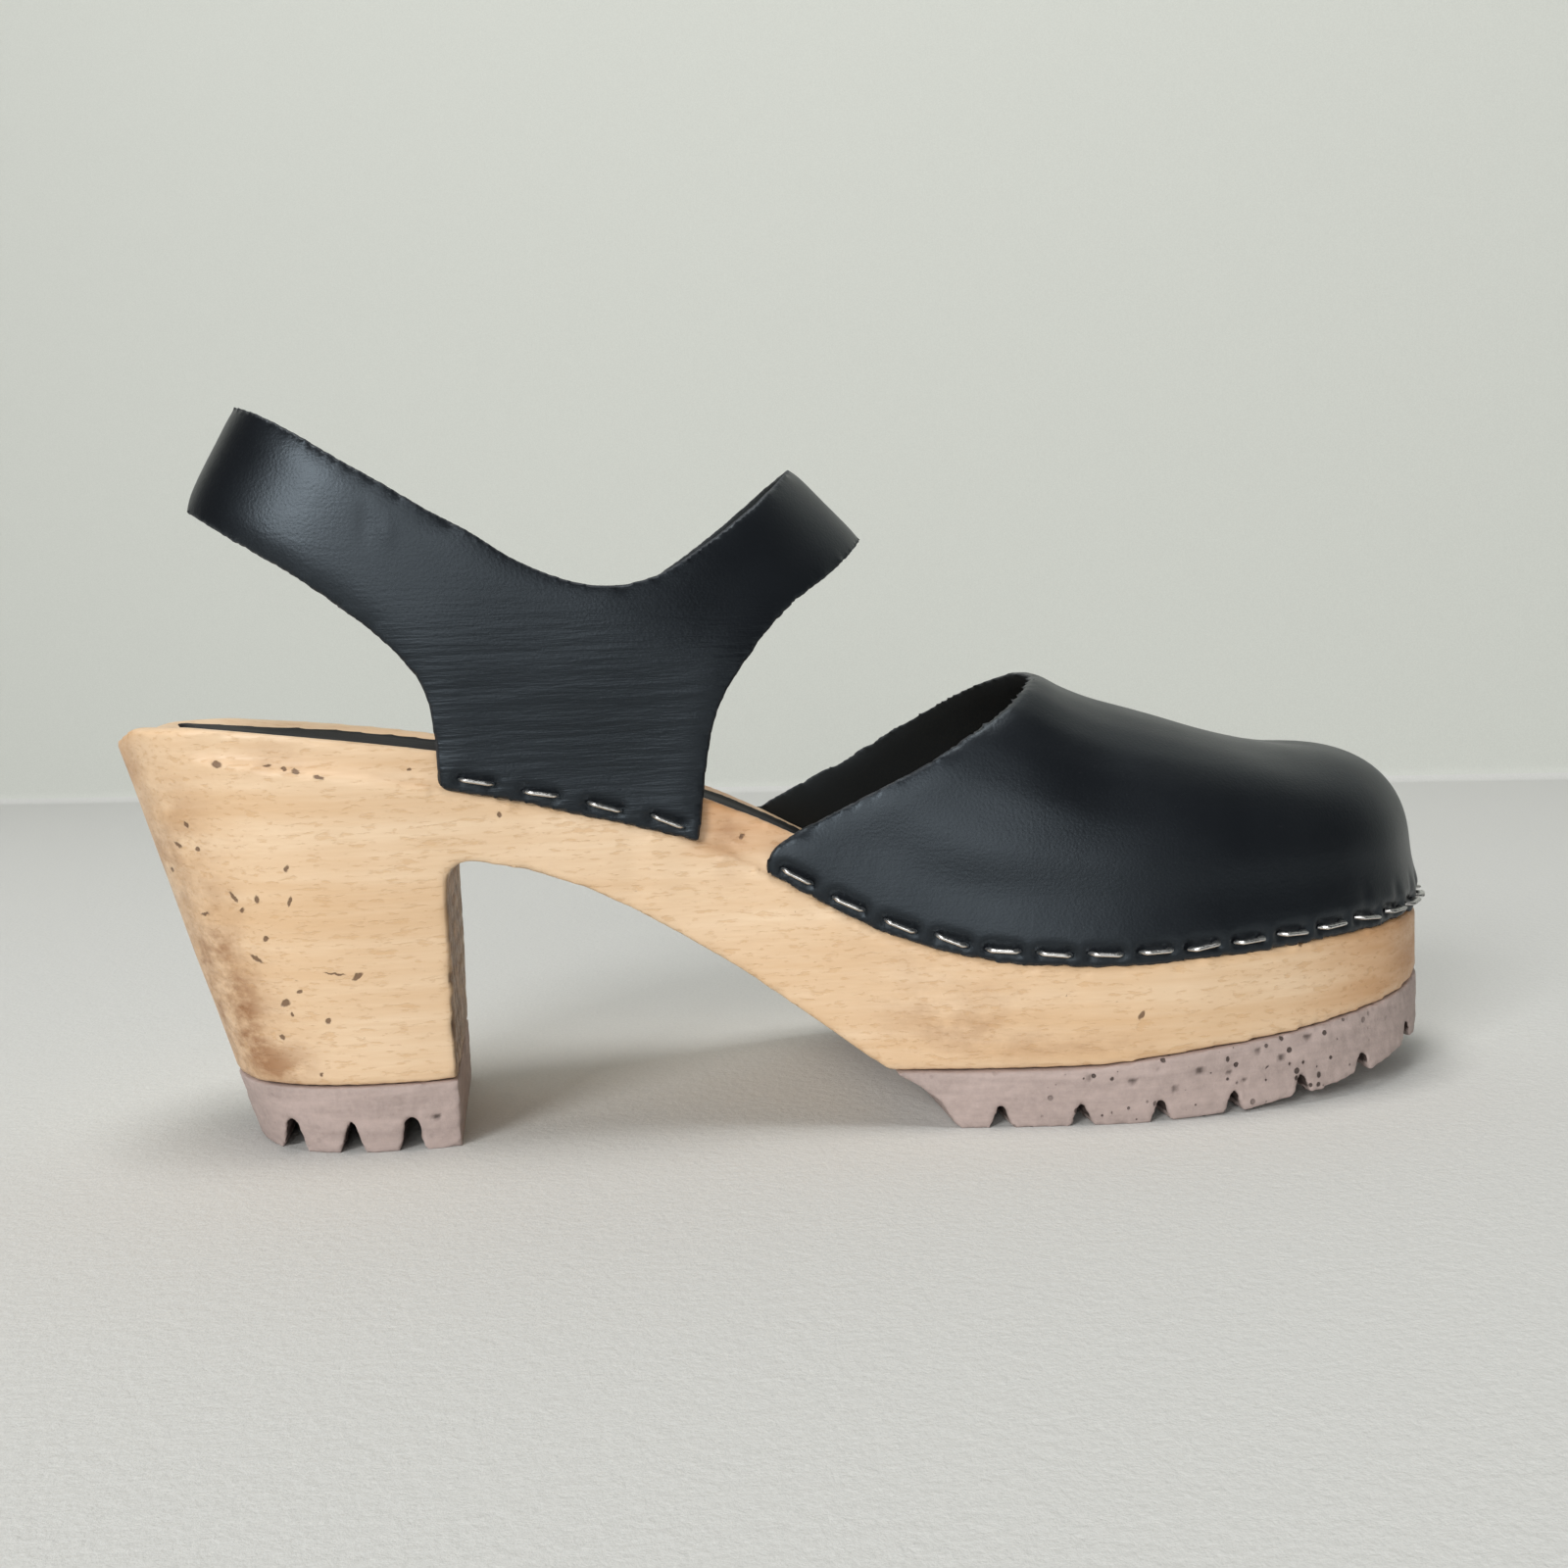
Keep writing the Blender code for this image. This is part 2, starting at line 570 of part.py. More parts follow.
def build_vamp(parts, cutters):
    """Closed toe: sections from the rebate to the instep, cut at the topline."""
    vertices, faces = [], []
    rows = vamp_rows()
    for length, y, top in rows:
        rim = footbed_height(length)
        base = block_point(length, y, rim + WAIST_RISE)
        middle = Vector((to_x(min(length, TOE_PIVOT * SOLE_LENGTH)), 0.0, base.z))
        base += (middle - base).normalized() * WAIST_INSET
        exponent = 2 / line_at(FULLNESS, length / SOLE_LENGTH)
        vertices += [block_point(length, y, ledge_height(length) + SEAM_GAP),
                     block_point(length, y, rim - SEAM_GAP), base]
        for step in range(1, DOME_STEPS + 1):
            angle = math.pi / 2 * step / DOME_STEPS
            inward = 1 - math.cos(angle)**exponent if step < DOME_STEPS else 1.0
            upward = math.sin(angle)**exponent
            vertices.append(Vector((base.x + (top.x - base.x) * inward, base.y + (top.y - base.y) * inward,
                                    base.z + (top.z - base.z) * upward)))
    column = DOME_STEPS + 3
    for i in range(len(rows) - 1):
        for j in range(column - 1):
            a, b = i * column + j, (i + 1) * column + j
            faces.append((a, b, b + 1, a + 1))
    vamp = add_shell("vamp", vertices, faces, parts)
    topline = smooth_curve([(station * SOLE_LENGTH, footbed_height(station * SOLE_LENGTH) + INSTEP_HEIGHT * share)
                            for station, share in TOPLINE])
    run = topline[-1][0] - topline[-2][0]
    climb = topline[-1][1] - topline[-2][1]
    topline.append((topline[-1][0] + 6 * run, topline[-1][1] + 6 * climb))
    far_front, floor = 1.2 * SOLE_LENGTH, 0.0
    pattern = [(topline[0][0], floor)] + topline + [(far_front, topline[-1][1]), (far_front, floor)]
    fall = TOPLINE_DROP / WAIST_WIDTH
    cut(vamp, add_side_prism("vamp_pattern", pattern, cutters, fall), "INTERSECT")
    return vamp


def strap_height(share):
    """Height of a share of the ankle's height above the seat."""
    return HEEL_HEIGHT + ANKLE_HEIGHT * share


def ankle_point(height_share, along, side):
    """Outer surface of the leather round the ankle; along runs from -1 behind to 1 in front."""
    height = strap_height(height_share)
    back, front, width, full_back, full_front = (line_at(ANKLE, height_share, k) for k in range(1, 6))
    middle, reach = (back + front) / 2 * SOLE_LENGTH, (front - back) / 2 * SOLE_LENGTH
    length = middle + reach * along
    fullness = full_front if along > 0 else full_back
    bulge = max(1 - abs(along)**fullness, 0.0)**(1 / fullness)
    settled = ease((height - footbed_height(length) - BAND_RISE) / STRAP_SETTLE)
    sole_half = abs(block_point(length, edge_y(length, side), height).y)
    half = sole_half + (ANKLE_WIDTH * width / 2 - sole_half) * settled
    return Vector((to_x(length), side * half * bulge, height))


def strap_foot():
    """Rear and front ends of the edge that the side piece stands on."""
    return STRAP_REAR[0][0] * SOLE_LENGTH + STRAP_CORNER, STRAP_FRONT[-1][0] * SOLE_LENGTH - STRAP_CORNER


def build_ankle_strap(parts, cutters):
    """Two T-shaped side pieces with their heel strap and instep strap, in one loop."""
    vertices, faces = [], []
    along = [-math.cos(math.pi * i / RING_STEPS) for i in range(RING_STEPS + 1)]
    loop = [(a, -1) for a in along] + [(a, 1) for a in reversed(along[1:-1])]
    for share in RING_HEIGHTS:
        vertices += [ankle_point(share, a, side) for a, side in loop]
    count = len(loop)
    for i in range(len(RING_HEIGHTS) - 1):
        for j in range(count):
            a, b = i * count + j, i * count + (j + 1) % count
            faces.append((a, b, b + count, a + count))
    strap = add_shell("ankle_strap", vertices, faces, parts)
    top, front, rear = (smooth_curve([(station * SOLE_LENGTH, strap_height(share)) for station, share in table])
                        for table in (STRAP_TOP, STRAP_FRONT, STRAP_REAR))
    foot_rear, foot_front = strap_foot()
    foot = [(x, ledge_height(x) + SEAM_GAP) for x in spread(foot_front, foot_rear, 6)]
    foot.append((rear[0][0], foot[-1][1] + STRAP_CORNER))
    pattern = top + front + foot + rear
    cut(strap, add_side_prism("strap_pattern", pattern, cutters), "INTERSECT")
    return strap


def staple_frame(length, y):
    """Place of a staple on the stapled edge: along the ledge, facing out of the leather."""
    here = block_point(length, y, ledge_height(length) + STAPLE_RISE)
    points = leather_outline()
    nearest = min(range(len(points)), key=lambda i: (points[i][0] - length)**2 + (points[i][1] - y)**2)
    nx, ny = outline_normals()[nearest]
    half = STAPLE_LENGTH / 2
    climb = (ledge_height(length + half) - ledge_height(length - half)) / STAPLE_LENGTH
    along = Vector((-ny, nx, -climb * ny)).normalized()
    outward = Vector((nx, ny, 0.0))
    outward = (outward - along * outward.dot(along)).normalized()
    frame = Matrix((along, outward, along.cross(outward))).transposed().to_4x4()
    frame.translation = here + outward * (SEAM_GAP + STAPLE_THICKNESS / 2)
    return frame


def staple_mesh():
    """The crown that every staple shares."""
    mesh = bpy.data.meshes.new("staple")
    work = bmesh.new()
    size = Matrix.Diagonal((STAPLE_LENGTH, STAPLE_THICKNESS, STAPLE_WIDTH, 1.0))
    bmesh.ops.create_cube(work, size=1.0, matrix=size)
    work.to_mesh(mesh)
    work.free()
    return mesh


def add_staple(name, mesh, length, y, parts):
    """One staple lying on the leather."""
    obj = bpy.data.objects.new(name, mesh)
    obj.matrix_world = staple_frame(length, y)
    parts.objects.link(obj)


def edge_path(start):
    """Outline points from a length on the inner side, round the toe, to it on the outer side."""
    points = [p for p in leather_outline() if p[0] > start]
    return [(start, edge_y(start, -1))] + points + [(start, edge_y(start, 1))]


def points_along(path, count):
    """Evenly spaced points on a path, its ends among them."""
    distances = [0.0]
    for (x0, y0), (x1, y1) in zip(path, path[1:]):
        distances.append(distances[-1] + math.hypot(x1 - x0, y1 - y0))
    placed = []
    for wanted in spread(0.0, distances[-1], count - 1):
        i = next(k for k in range(len(path) - 1) if wanted <= distances[k + 1] + 1e-9)
        t = (wanted - distances[i]) / (distances[i + 1] - distances[i])
        placed.append(tuple(a + (b - a) * t for a, b in zip(path[i], path[i + 1])))
    return placed


def build_staples(parts, material):
    """Four staples in each side piece of the strap and a row round the vamp."""
    mesh = staple_mesh()
    mesh.materials.append(material)
    foot_rear, foot_front = strap_foot()
    lengths = spread(foot_rear + STAPLE_INSET, foot_front - STAPLE_INSET, 3)
    for name, side in (("inner", -1), ("outer", 1)):
        for number, length in enumerate(lengths, 1):
            add_staple(f"staple_strap_{name}_{number}", mesh, length, edge_y(length, side), parts)
    path = edge_path(TOPLINE[0][0] * SOLE_LENGTH + STAPLE_INSET)
    travel = sum(math.hypot(b[0] - a[0], b[1] - a[1]) for a, b in zip(path, path[1:]))
    count = round(travel / STAPLE_PITCH) + 1
    for number, (length, y) in enumerate(points_along(path, count), 1):
        add_staple(f"staple_vamp_{number:02d}", mesh, length, y, parts)


def finish(obj, material):
    """Give a piece its material and smooth round shading."""
    obj.data.materials.append(material)
    obj.data.shade_smooth()
    obj.data.set_sharp_from_angle(angle=SHARP_ANGLE)


def centre_on_floor(parts, cutters):
    """Hang everything from an empty that puts the origin below the middle of the shoe, on the floor."""
    graph = bpy.context.evaluated_depsgraph_get()
    corners = [obj.matrix_world @ Vector(corner) for obj in parts.objects
               for corner in obj.evaluated_get(graph).bound_box]
    low = [min(corner[axis] for corner in corners) for axis in range(3)]
    high = [max(corner[axis] for corner in corners) for axis in range(3)]
    shoe = bpy.data.objects.new("shoe", None)
    shoe.location = (-(low[0] + high[0]) / 2, -(low[1] + high[1]) / 2, -low[2])
    for obj in list(parts.objects) + list(cutters.objects):
        obj.parent = shoe
    bpy.context.scene.collection.objects.link(shoe)


def main():
    """Build the whole clog."""
    clear_scene()
    parts = new_collection("heeled_clog")
    cutters = new_collection("cutters")
    materials = {name: new_material(name) for name in FINISHES}
    finish(build_wood_sole(parts, cutters), materials["wood"])
    finish(build_outsole(parts, cutters), materials["rubber"])
    finish(build_top_lift(parts, cutters), materials["rubber"])
    finish(build_insole(parts, cutters), materials["sock"])
    finish(build_vamp(parts, cutters), materials["leather"])
    finish(build_ankle_strap(parts, cutters), materials["leather"])
    build_staples(parts, materials["steel"])
    centre_on_floor(parts, cutters)


main()
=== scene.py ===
"""Looks of the heeled clog: fine leather, wood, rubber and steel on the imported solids.

+X points to the toe, -Y to the inner side of the foot, which the camera sees, and +Z up.
Every piece starts from its solid in the frame, is drawn finer, and gets its small forms
and its finish. Lengths are in metres.
"""

import math

import bmesh
import bpy
import numpy as np
from bpy.props import FloatProperty, FloatVectorProperty, IntProperty, PointerProperty
from bpy.types import Operator, Panel, PropertyGroup
from mathutils import Matrix, Vector
from mathutils.bvhtree import BVHTree


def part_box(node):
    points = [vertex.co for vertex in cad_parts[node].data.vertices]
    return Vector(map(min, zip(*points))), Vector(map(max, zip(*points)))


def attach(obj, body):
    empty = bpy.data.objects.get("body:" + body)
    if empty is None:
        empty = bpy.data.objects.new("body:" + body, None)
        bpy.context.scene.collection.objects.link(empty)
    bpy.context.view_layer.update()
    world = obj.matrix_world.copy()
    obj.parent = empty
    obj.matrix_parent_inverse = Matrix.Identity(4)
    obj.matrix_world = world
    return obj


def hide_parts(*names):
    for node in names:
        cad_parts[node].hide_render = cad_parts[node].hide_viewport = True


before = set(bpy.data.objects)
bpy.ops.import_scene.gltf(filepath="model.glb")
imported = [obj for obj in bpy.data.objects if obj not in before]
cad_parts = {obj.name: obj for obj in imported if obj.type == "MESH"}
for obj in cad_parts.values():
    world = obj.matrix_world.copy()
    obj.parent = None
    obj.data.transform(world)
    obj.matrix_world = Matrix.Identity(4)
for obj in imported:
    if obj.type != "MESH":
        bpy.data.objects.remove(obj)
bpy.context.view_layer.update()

bl_info = {
    "name": "Heeled Clog",
    "version": (1, 0, 0),
    "blender": (4, 5, 0),
    "location": "View3D > Sidebar > Clog",
    "description": "Dresses the solids of a heeled clog in wood, leather, rubber and steel",
    "category": "Object",
}

MM = 0.001
WOOD_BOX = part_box("wood_sole")
HEEL_BACK = WOOD_BOX[0].x
TOE_TIP = WOOD_BOX[1].x
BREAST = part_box("heel_top_lift")[1].x
LIFT_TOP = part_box("heel_top_lift")[1].z


def colour(name, description, red, green, blue):
    """A colour that the user can change."""
    return FloatVectorProperty(name=name, description=description, subtype="COLOR", size=3,
                               min=0.0, max=1.0, default=(red, green, blue))


def size(name, description, millimetres):
    """A length that the user can change."""
    return FloatProperty(name=name, description=description, default=millimetres * MM, unit="LENGTH")


class ClogColours(PropertyGroup):
    """Colours of the finishes."""
    wood: colour("Wood", "Pale wood of the sole", 0.86, 0.645, 0.435)
    wood_streak: colour("Wood streak", "Darker grain of the wood", 0.76, 0.52, 0.31)
    wood_tan: colour("Tanned wood", "Wood darkened by light and lacquer", 0.66, 0.40, 0.19)
    stain: colour("Stain", "Brown dirt on the heel", 0.34, 0.16, 0.065)
    fleck: colour("Fleck", "Nicks and dark flecks of the wood", 0.12, 0.055, 0.022)
    leather: colour("Leather", "Grain side of the leather", 0.0050, 0.0058, 0.0075)
    leather_edge: colour("Cut edge", "Cut edge of the leather", 0.060, 0.060, 0.064)
    leather_inside: colour("Flesh side", "Inner face of the leather", 0.020, 0.021, 0.020)
    rubber: colour("Rubber", "Rubber of the tread and the top lift", 0.50, 0.40, 0.37)
    # Also the painted shade and dirt in the rubber's grooves.
    rubber_pit_and_groove_shade: colour("Rubber pits", "Pits and grooves of the rubber", 0.05, 0.035, 0.03)
    steel: colour("Steel", "Wire of the staples", 0.78, 0.78, 0.77)
    insole: colour("Insole", "Sock on the footbed", 0.012, 0.012, 0.014)
    floor: colour("Floor", "Pale floor", 0.66, 0.665, 0.65)
    wall: colour("Wall", "Pale wall behind the shoe", 0.64, 0.66, 0.62)


class ClogLeather(PropertyGroup):
    """Small forms of the leather."""
    mesh_size: size("Mesh size", "Edge length of the leather's fine mesh", 0.68)
    puff: size("Puff", "How far the leather swells between two staples", 0.5)
    bite: size("Bite", "How deep a staple presses into the leather", 0.35)
    pleat: size("Pleat", "Depth of the gathers at the toe", 0.6)
    wander: size("Wander", "Unevenness of the cut edge", 0.24)
    grain: size("Grain", "Width of one pebble of the grain", 0.5)


class ClogWood(PropertyGroup):
    """Small forms of the wood."""
    mesh_size: size("Mesh size", "Edge length of the wood's fine mesh", 0.9)
    nick: size("Nick", "Depth of the nicks", 0.5)
    hollow: size("Hollow", "Depth of the soft unevenness of the hand-sanded sides", 0.14)
    shelf: size("Shelf", "Depth at which the rebate's end still shows on the heel", 0.8)


class ClogRubber(PropertyGroup):
    """Small forms of the rubber."""
    mesh_size: size("Mesh size", "Edge length of the rubber's fine mesh", 0.6)
    wear: size("Wear", "Unevenness of the worn rubber", 0.22)
    pit: size("Pit", "Depth of the pits", 0.45)


class ClogStaples(PropertyGroup):
    """Wire staples."""
    width: size("Width", "Width of the wire", 1.55)
    thickness: size("Thickness", "Thickness of the wire", 0.8)
    crown: size("Crown", "Length of the crown", 5.4)
    leg: size("Leg", "Depth to which the ends of the crown bend in", 1.4)
    stand: size("Stand", "How far the crown stands out from its solid's place", 0.25)
    lean: FloatProperty(name="Lean", description="Largest turn of a staple out of line", default=0.12,
                        subtype="ANGLE")
    seed: IntProperty(name="Seed", description="Seed of the staples' lean", default=7)


class ClogStage(PropertyGroup):
    """Camera, floor and light."""
    camera: FloatVectorProperty(name="Camera", description="Place of the camera", subtype="TRANSLATION",
                                default=(-0.05198, -0.33502, 0.0912))
    yaw: FloatProperty(name="Yaw", description="Turn of the camera to the left", subtype="ANGLE",
                       default=math.radians(-8.5))
    pitch: FloatProperty(name="Pitch", description="How far the camera looks down", subtype="ANGLE",
                         default=math.radians(4.9))
    roll: FloatProperty(name="Roll", description="Roll of the camera", subtype="ANGLE",
                        default=math.radians(2.3))
    lens: FloatProperty(name="Lens", description="Focal length in millimetres on a 36 mm sensor",
                        default=38.25)
    wall_distance: size("Wall distance", "From the shoe's middle to the wall", 648)
    wall_turn: FloatProperty(name="Wall turn", description="Turn of the room seen from above",
                             subtype="ANGLE", default=math.radians(-23.5))
    window_power: FloatProperty(name="Window light", description="Power of the light from the left in front",
                                default=37.0, subtype="POWER")
    top_power: FloatProperty(name="Top light", description="Power of the soft light above", default=16.0,
                             subtype="POWER")
    front_power: FloatProperty(name="Front light", description="Power of the soft light behind the camera",
                               default=20.0, subtype="POWER")
    fill: FloatProperty(name="Fill", description="Strength of the light from all round", default=0.07)


def settings():
    """The scene's own settings for the clog."""
    return bpy.context.scene.heeled_clog


class ClogSettings(PropertyGroup):
    """All settings of the clog."""
    colours: PointerProperty(type=ClogColours)
    leather: PointerProperty(type=ClogLeather)
    wood: PointerProperty(type=ClogWood)
    rubber: PointerProperty(type=ClogRubber)
    staples: PointerProperty(type=ClogStaples)
    stage: PointerProperty(type=ClogStage)


# Meshes as arrays

def points_of(mesh):
    """The mesh's points as rows of an array."""
    flat = np.empty(len(mesh.vertices) * 3, np.float32)
    mesh.vertices.foreach_get("co", flat)
    return flat.reshape(-1, 3).astype(float)


def set_points(mesh, points):
    """Move the mesh's points."""
    mesh.vertices.foreach_set("co", points.astype(np.float32).ravel())
    mesh.update()


def normals_of(mesh):
    """The normals at the mesh's points."""
    flat = np.empty(len(mesh.vertices) * 3, np.float32)
    mesh.vertices.foreach_get("normal", flat)
    return flat.reshape(-1, 3).astype(float)


def edges_of(mesh):
    """The mesh's edges as pairs of point numbers."""
    flat = np.empty(len(mesh.edges) * 2, np.int32)
    mesh.edges.foreach_get("vertices", flat)
    return flat.reshape(-1, 2)


def set_mask(mesh, name, values):
    """Keep a value for each point, which a material can read."""
    layer = mesh.attributes.new(name, "FLOAT", "POINT")
    layer.data.foreach_set("value", np.clip(values, 0.0, 1.0).astype(np.float32))


def ease(values, low=0.0, high=1.0):
    """Smooth step from 0 at low to 1 at high."""
    t = np.clip((values - low) / (high - low), 0.0, 1.0)
    return t * t * (3 - 2 * t)


def diffuse(values, edges, rounds, freedom=1.0):
    """Values averaged with their neighbours' again and again."""
    count = len(values)
    first, second = edges.T
    degree = np.bincount(edges.ravel(), minlength=count)[:, None]
    rate = 0.6 * np.broadcast_to(np.asarray(freedom, float).reshape(-1, 1), (count, 1))
    values = values.copy()
    for _ in range(rounds):
        total = np.empty_like(values)
        for axis in range(values.shape[1]):
            total[:, axis] = np.bincount(first, values[second, axis], count)
            total[:, axis] += np.bincount(second, values[first, axis], count)
        values += rate * (total / degree - values)
    return values


def smooth_faces(points, edges, rounds, freedom=1.0, limit=0.5 * MM):
    """Points without their facets, on the same broad form; none moves further than the limit."""
    smooth = diffuse(points, edges, rounds, freedom)
    shift = smooth - diffuse(smooth - points, edges, rounds) - points
    length = np.linalg.norm(shift, axis=1)[:, None] + 1e-9
    return points + shift * (limit * np.tanh(length / limit) / length)


def wave_noise(points, scale, seed):
    """Soft noise from -1 to 1 over the points, with features about as wide as scale."""
    random = np.random.default_rng(seed)
    total = np.zeros(len(points))
    for _ in range(12):
        direction = random.normal(size=3)
        direction *= random.uniform(0.6, 1.6) / np.linalg.norm(direction)
        total += np.sin(points @ direction * (2 * math.pi / scale) + random.uniform(0, 2 * math.pi))
    return total / 5


def node_copy(node):
    """A copy of a node's mesh with its corners merged."""
    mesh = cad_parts[node].data.copy()
    work = bmesh.new()
    work.from_mesh(mesh)
    bmesh.ops.remove_doubles(work, verts=work.verts, dist=0.01 * MM)
    work.to_mesh(mesh)
    work.free()
    return mesh


def plain_mesh(obj):
    """Put an object's modifiers into its mesh."""
    graph = bpy.context.evaluated_depsgraph_get()
    mesh = bpy.data.meshes.new_from_object(obj.evaluated_get(graph), depsgraph=graph)
    obj.modifiers.clear()
    obj.data = mesh


def fine_copy(name, node, mesh_size):
    """The node's solid as an object with an even fine mesh."""
    obj = bpy.data.objects.new(name, node_copy(node))
    bpy.context.scene.collection.objects.link(obj)
    remesh = obj.modifiers.new("fine", "REMESH")
    remesh.mode = "VOXEL"
    remesh.voxel_size = mesh_size
    plain_mesh(obj)
    obj.data.shade_smooth()
    return obj


def wear_piece(obj, nodes, material):
    """Give a finished piece its material and its place in the frame."""
    obj.data.materials.clear()
    obj.data.materials.append(material)
    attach(obj, "root")
    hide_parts(*nodes)


def reach(points, directions, tree, limit, start=0.2 * MM):
    """How far the way is free from each point in its direction, up to a limit."""
    found = np.full(len(points), limit)
    for i, (point, direction) in enumerate(zip(points, directions)):
        hit = tree.ray_cast(Vector(point + direction * start), Vector(direction), limit)
        if hit[3] is not None:
            found[i] = hit[3] + start
    return found


def tree_of(mesh):
    """A search tree over the mesh's faces."""
    work = bmesh.new()
    work.from_mesh(mesh)
    tree = BVHTree.FromBMesh(work)
    work.free()
    return tree


def staple_places(prefix):
    """Middle, direction along, direction across and direction outwards of each staple."""
    centre = np.array([0.0, 0.0, 0.0])
    places = []
    for name in sorted(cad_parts):
        if not name.startswith(prefix):
            continue
        corners = points_of(node_copy(name))
        middle = corners.mean(0)
        along, across, outward = np.linalg.svd(corners - middle)[2]
        away = middle - centre
        away[0] *= 0.25
        if outward @ away < 0:
            outward = -outward
        if across[2] < 0:
            across = -across
        along = np.cross(across, outward)
        places.append((middle, along, across, outward))
    return places


# Shader nodes

def add_node(tree, kind, inputs=(), options=()):
    """A node with inputs by name or number, each a value or a socket, and with options."""
    node = tree.nodes.new(kind)
    for name, value in dict(options).items():
        setattr(node, name, value)
    for name, value in dict(inputs).items():
        socket = node.inputs[name]
        if isinstance(value, bpy.types.NodeSocket):
            tree.links.new(value, socket)
        else:
            socket.default_value = value
    return node


def maths(tree, operation, first, second=0.0):
    """Result of a Math node."""
    return add_node(tree, "ShaderNodeMath", {0: first, 1: second}, {"operation": operation}).outputs[0]


def blend_colours(tree, factor, first, second, how="MIX"):
    """Result of a colour Mix node."""
    inputs = {0: factor, 6: first, 7: second}
    options = {"data_type": "RGBA", "blend_type": how}
    return add_node(tree, "ShaderNodeMix", inputs, options).outputs[2]


def remap(tree, value, low, high, to_low=0.0, to_high=1.0):
    """A value spread from one range to another, and held inside it."""
    inputs = {"Value": value, "From Min": low, "From Max": high, "To Min": to_low, "To Max": to_high}
    return add_node(tree, "ShaderNodeMapRange", inputs).outputs[0]


def noise(tree, vector, scale, detail=3.0, roughness=0.55):
    """Value of a Noise texture."""
    inputs = {"Vector": vector, "Scale": scale, "Detail": detail, "Roughness": roughness}
    return add_node(tree, "ShaderNodeTexNoise", inputs).outputs[0]


def stretched(tree, vector, scale):
    """The vector with each axis scaled by its own amount."""
    return add_node(tree, "ShaderNodeMapping", {"Vector": vector, "Scale": scale}).outputs[0]


def mask_of(tree, name):
    """Value of one of the mesh's own masks."""
    return add_node(tree, "ShaderNodeAttribute", (), {"attribute_name": name}).outputs["Fac"]


def object_place(tree):
    """Place on the object."""
    return tree.nodes.new("ShaderNodeTexCoord").outputs["Object"]


def rgba(values):
    """A colour with full cover."""
    return (*values, 1.0)


def mottle_group():
    """Soft patches: where the noise is over a threshold, with a soft rim."""
    group = bpy.data.node_groups.new("clog_mottle", "ShaderNodeTree")
    faces = group.interface
    faces.new_socket("Vector", in_out="INPUT", socket_type="NodeSocketVector")
    faces.new_socket("Scale", in_out="INPUT", socket_type="NodeSocketFloat")
    faces.new_socket("Threshold", in_out="INPUT", socket_type="NodeSocketFloat")
    faces.new_socket("Softness", in_out="INPUT", socket_type="NodeSocketFloat")
    faces.new_socket("Mask", in_out="OUTPUT", socket_type="NodeSocketFloat")
    start = group.nodes.new("NodeGroupInput")
    end = group.nodes.new("NodeGroupOutput")
    value = noise(group, start.outputs["Vector"], start.outputs["Scale"], 4.0, 0.6)
    top = maths(group, "ADD", start.outputs["Threshold"], start.outputs["Softness"])
    spread = remap(group, value, start.outputs["Threshold"], top)
    group.links.new(spread, end.inputs["Mask"])
    return group


def mottle(tree, vector, scale, threshold, softness=0.1):
    """Soft patches from the shared group."""
    group = bpy.data.node_groups.get("clog_mottle") or mottle_group()
    inputs = {"Vector": vector, "Scale": scale, "Threshold": threshold, "Softness": softness}
    node = tree.nodes.new("ShaderNodeGroup")
    node.node_tree = group
    for name, value in inputs.items():
        if isinstance(value, bpy.types.NodeSocket):
            tree.links.new(value, node.inputs[name])
        else:
            node.inputs[name].default_value = value
    return node.outputs["Mask"]


def marks_on_side(tree, place, marks, ragged):
    """Small marks seen from the side: each a place, two radii in mm and a lean in degrees."""
    wobble = add_node(tree, "ShaderNodeTexNoise",
                      {"Vector": place, "Scale": 900.0, "Detail": 2.0}).outputs["Color"]
    wobble = add_node(tree, "ShaderNodeVectorMath", {0: wobble, 1: (0.5, 0.5, 0.5)},
                      {"operation": "SUBTRACT"}).outputs[0]
    wobble = add_node(tree, "ShaderNodeVectorMath", {0: wobble, "Scale": ragged},
                      {"operation": "SCALE"}).outputs[0]
    place = add_node(tree, "ShaderNodeVectorMath", {0: place, 1: wobble}, {"operation": "ADD"}).outputs[0]
    total = 0.0
    for x, y, z, wide, high, lean in marks:
        inputs = {"Vector": place, "Location": (x * MM + HEEL_BACK, y * MM, z * MM),
                  "Rotation": (0.0, math.radians(lean), 0.0), "Scale": (wide * MM, 12 * MM, high * MM)}
        own_place = add_node(tree, "ShaderNodeMapping", inputs, {"vector_type": "TEXTURE"}).outputs[0]
        far = add_node(tree, "ShaderNodeVectorMath", {0: own_place}, {"operation": "LENGTH"}).outputs["Value"]
        total = maths(tree, "MAXIMUM", remap(tree, far, 1.15, 0.75), total)
    return total


def bump(tree, height, distance, normal=None):
    """Normal of a Bump node; distance is the full height in metres."""
    inputs = {"Height": height, "Distance": distance, "Strength": 1.0}
    if normal is not None:
        inputs["Normal"] = normal
    return add_node(tree, "ShaderNodeBump", inputs).outputs[0]


def new_finish(name, **constants):
    """A Principled material: its tree, and the shader with its constant values set."""
    material = bpy.data.materials.new(name)
    material.use_nodes = True
    tree = material.node_tree
    shader = tree.nodes["Principled BSDF"]
    for key, value in constants.items():
        shader.inputs[key.replace("_", " ")].default_value = value
    return material, tree, shader


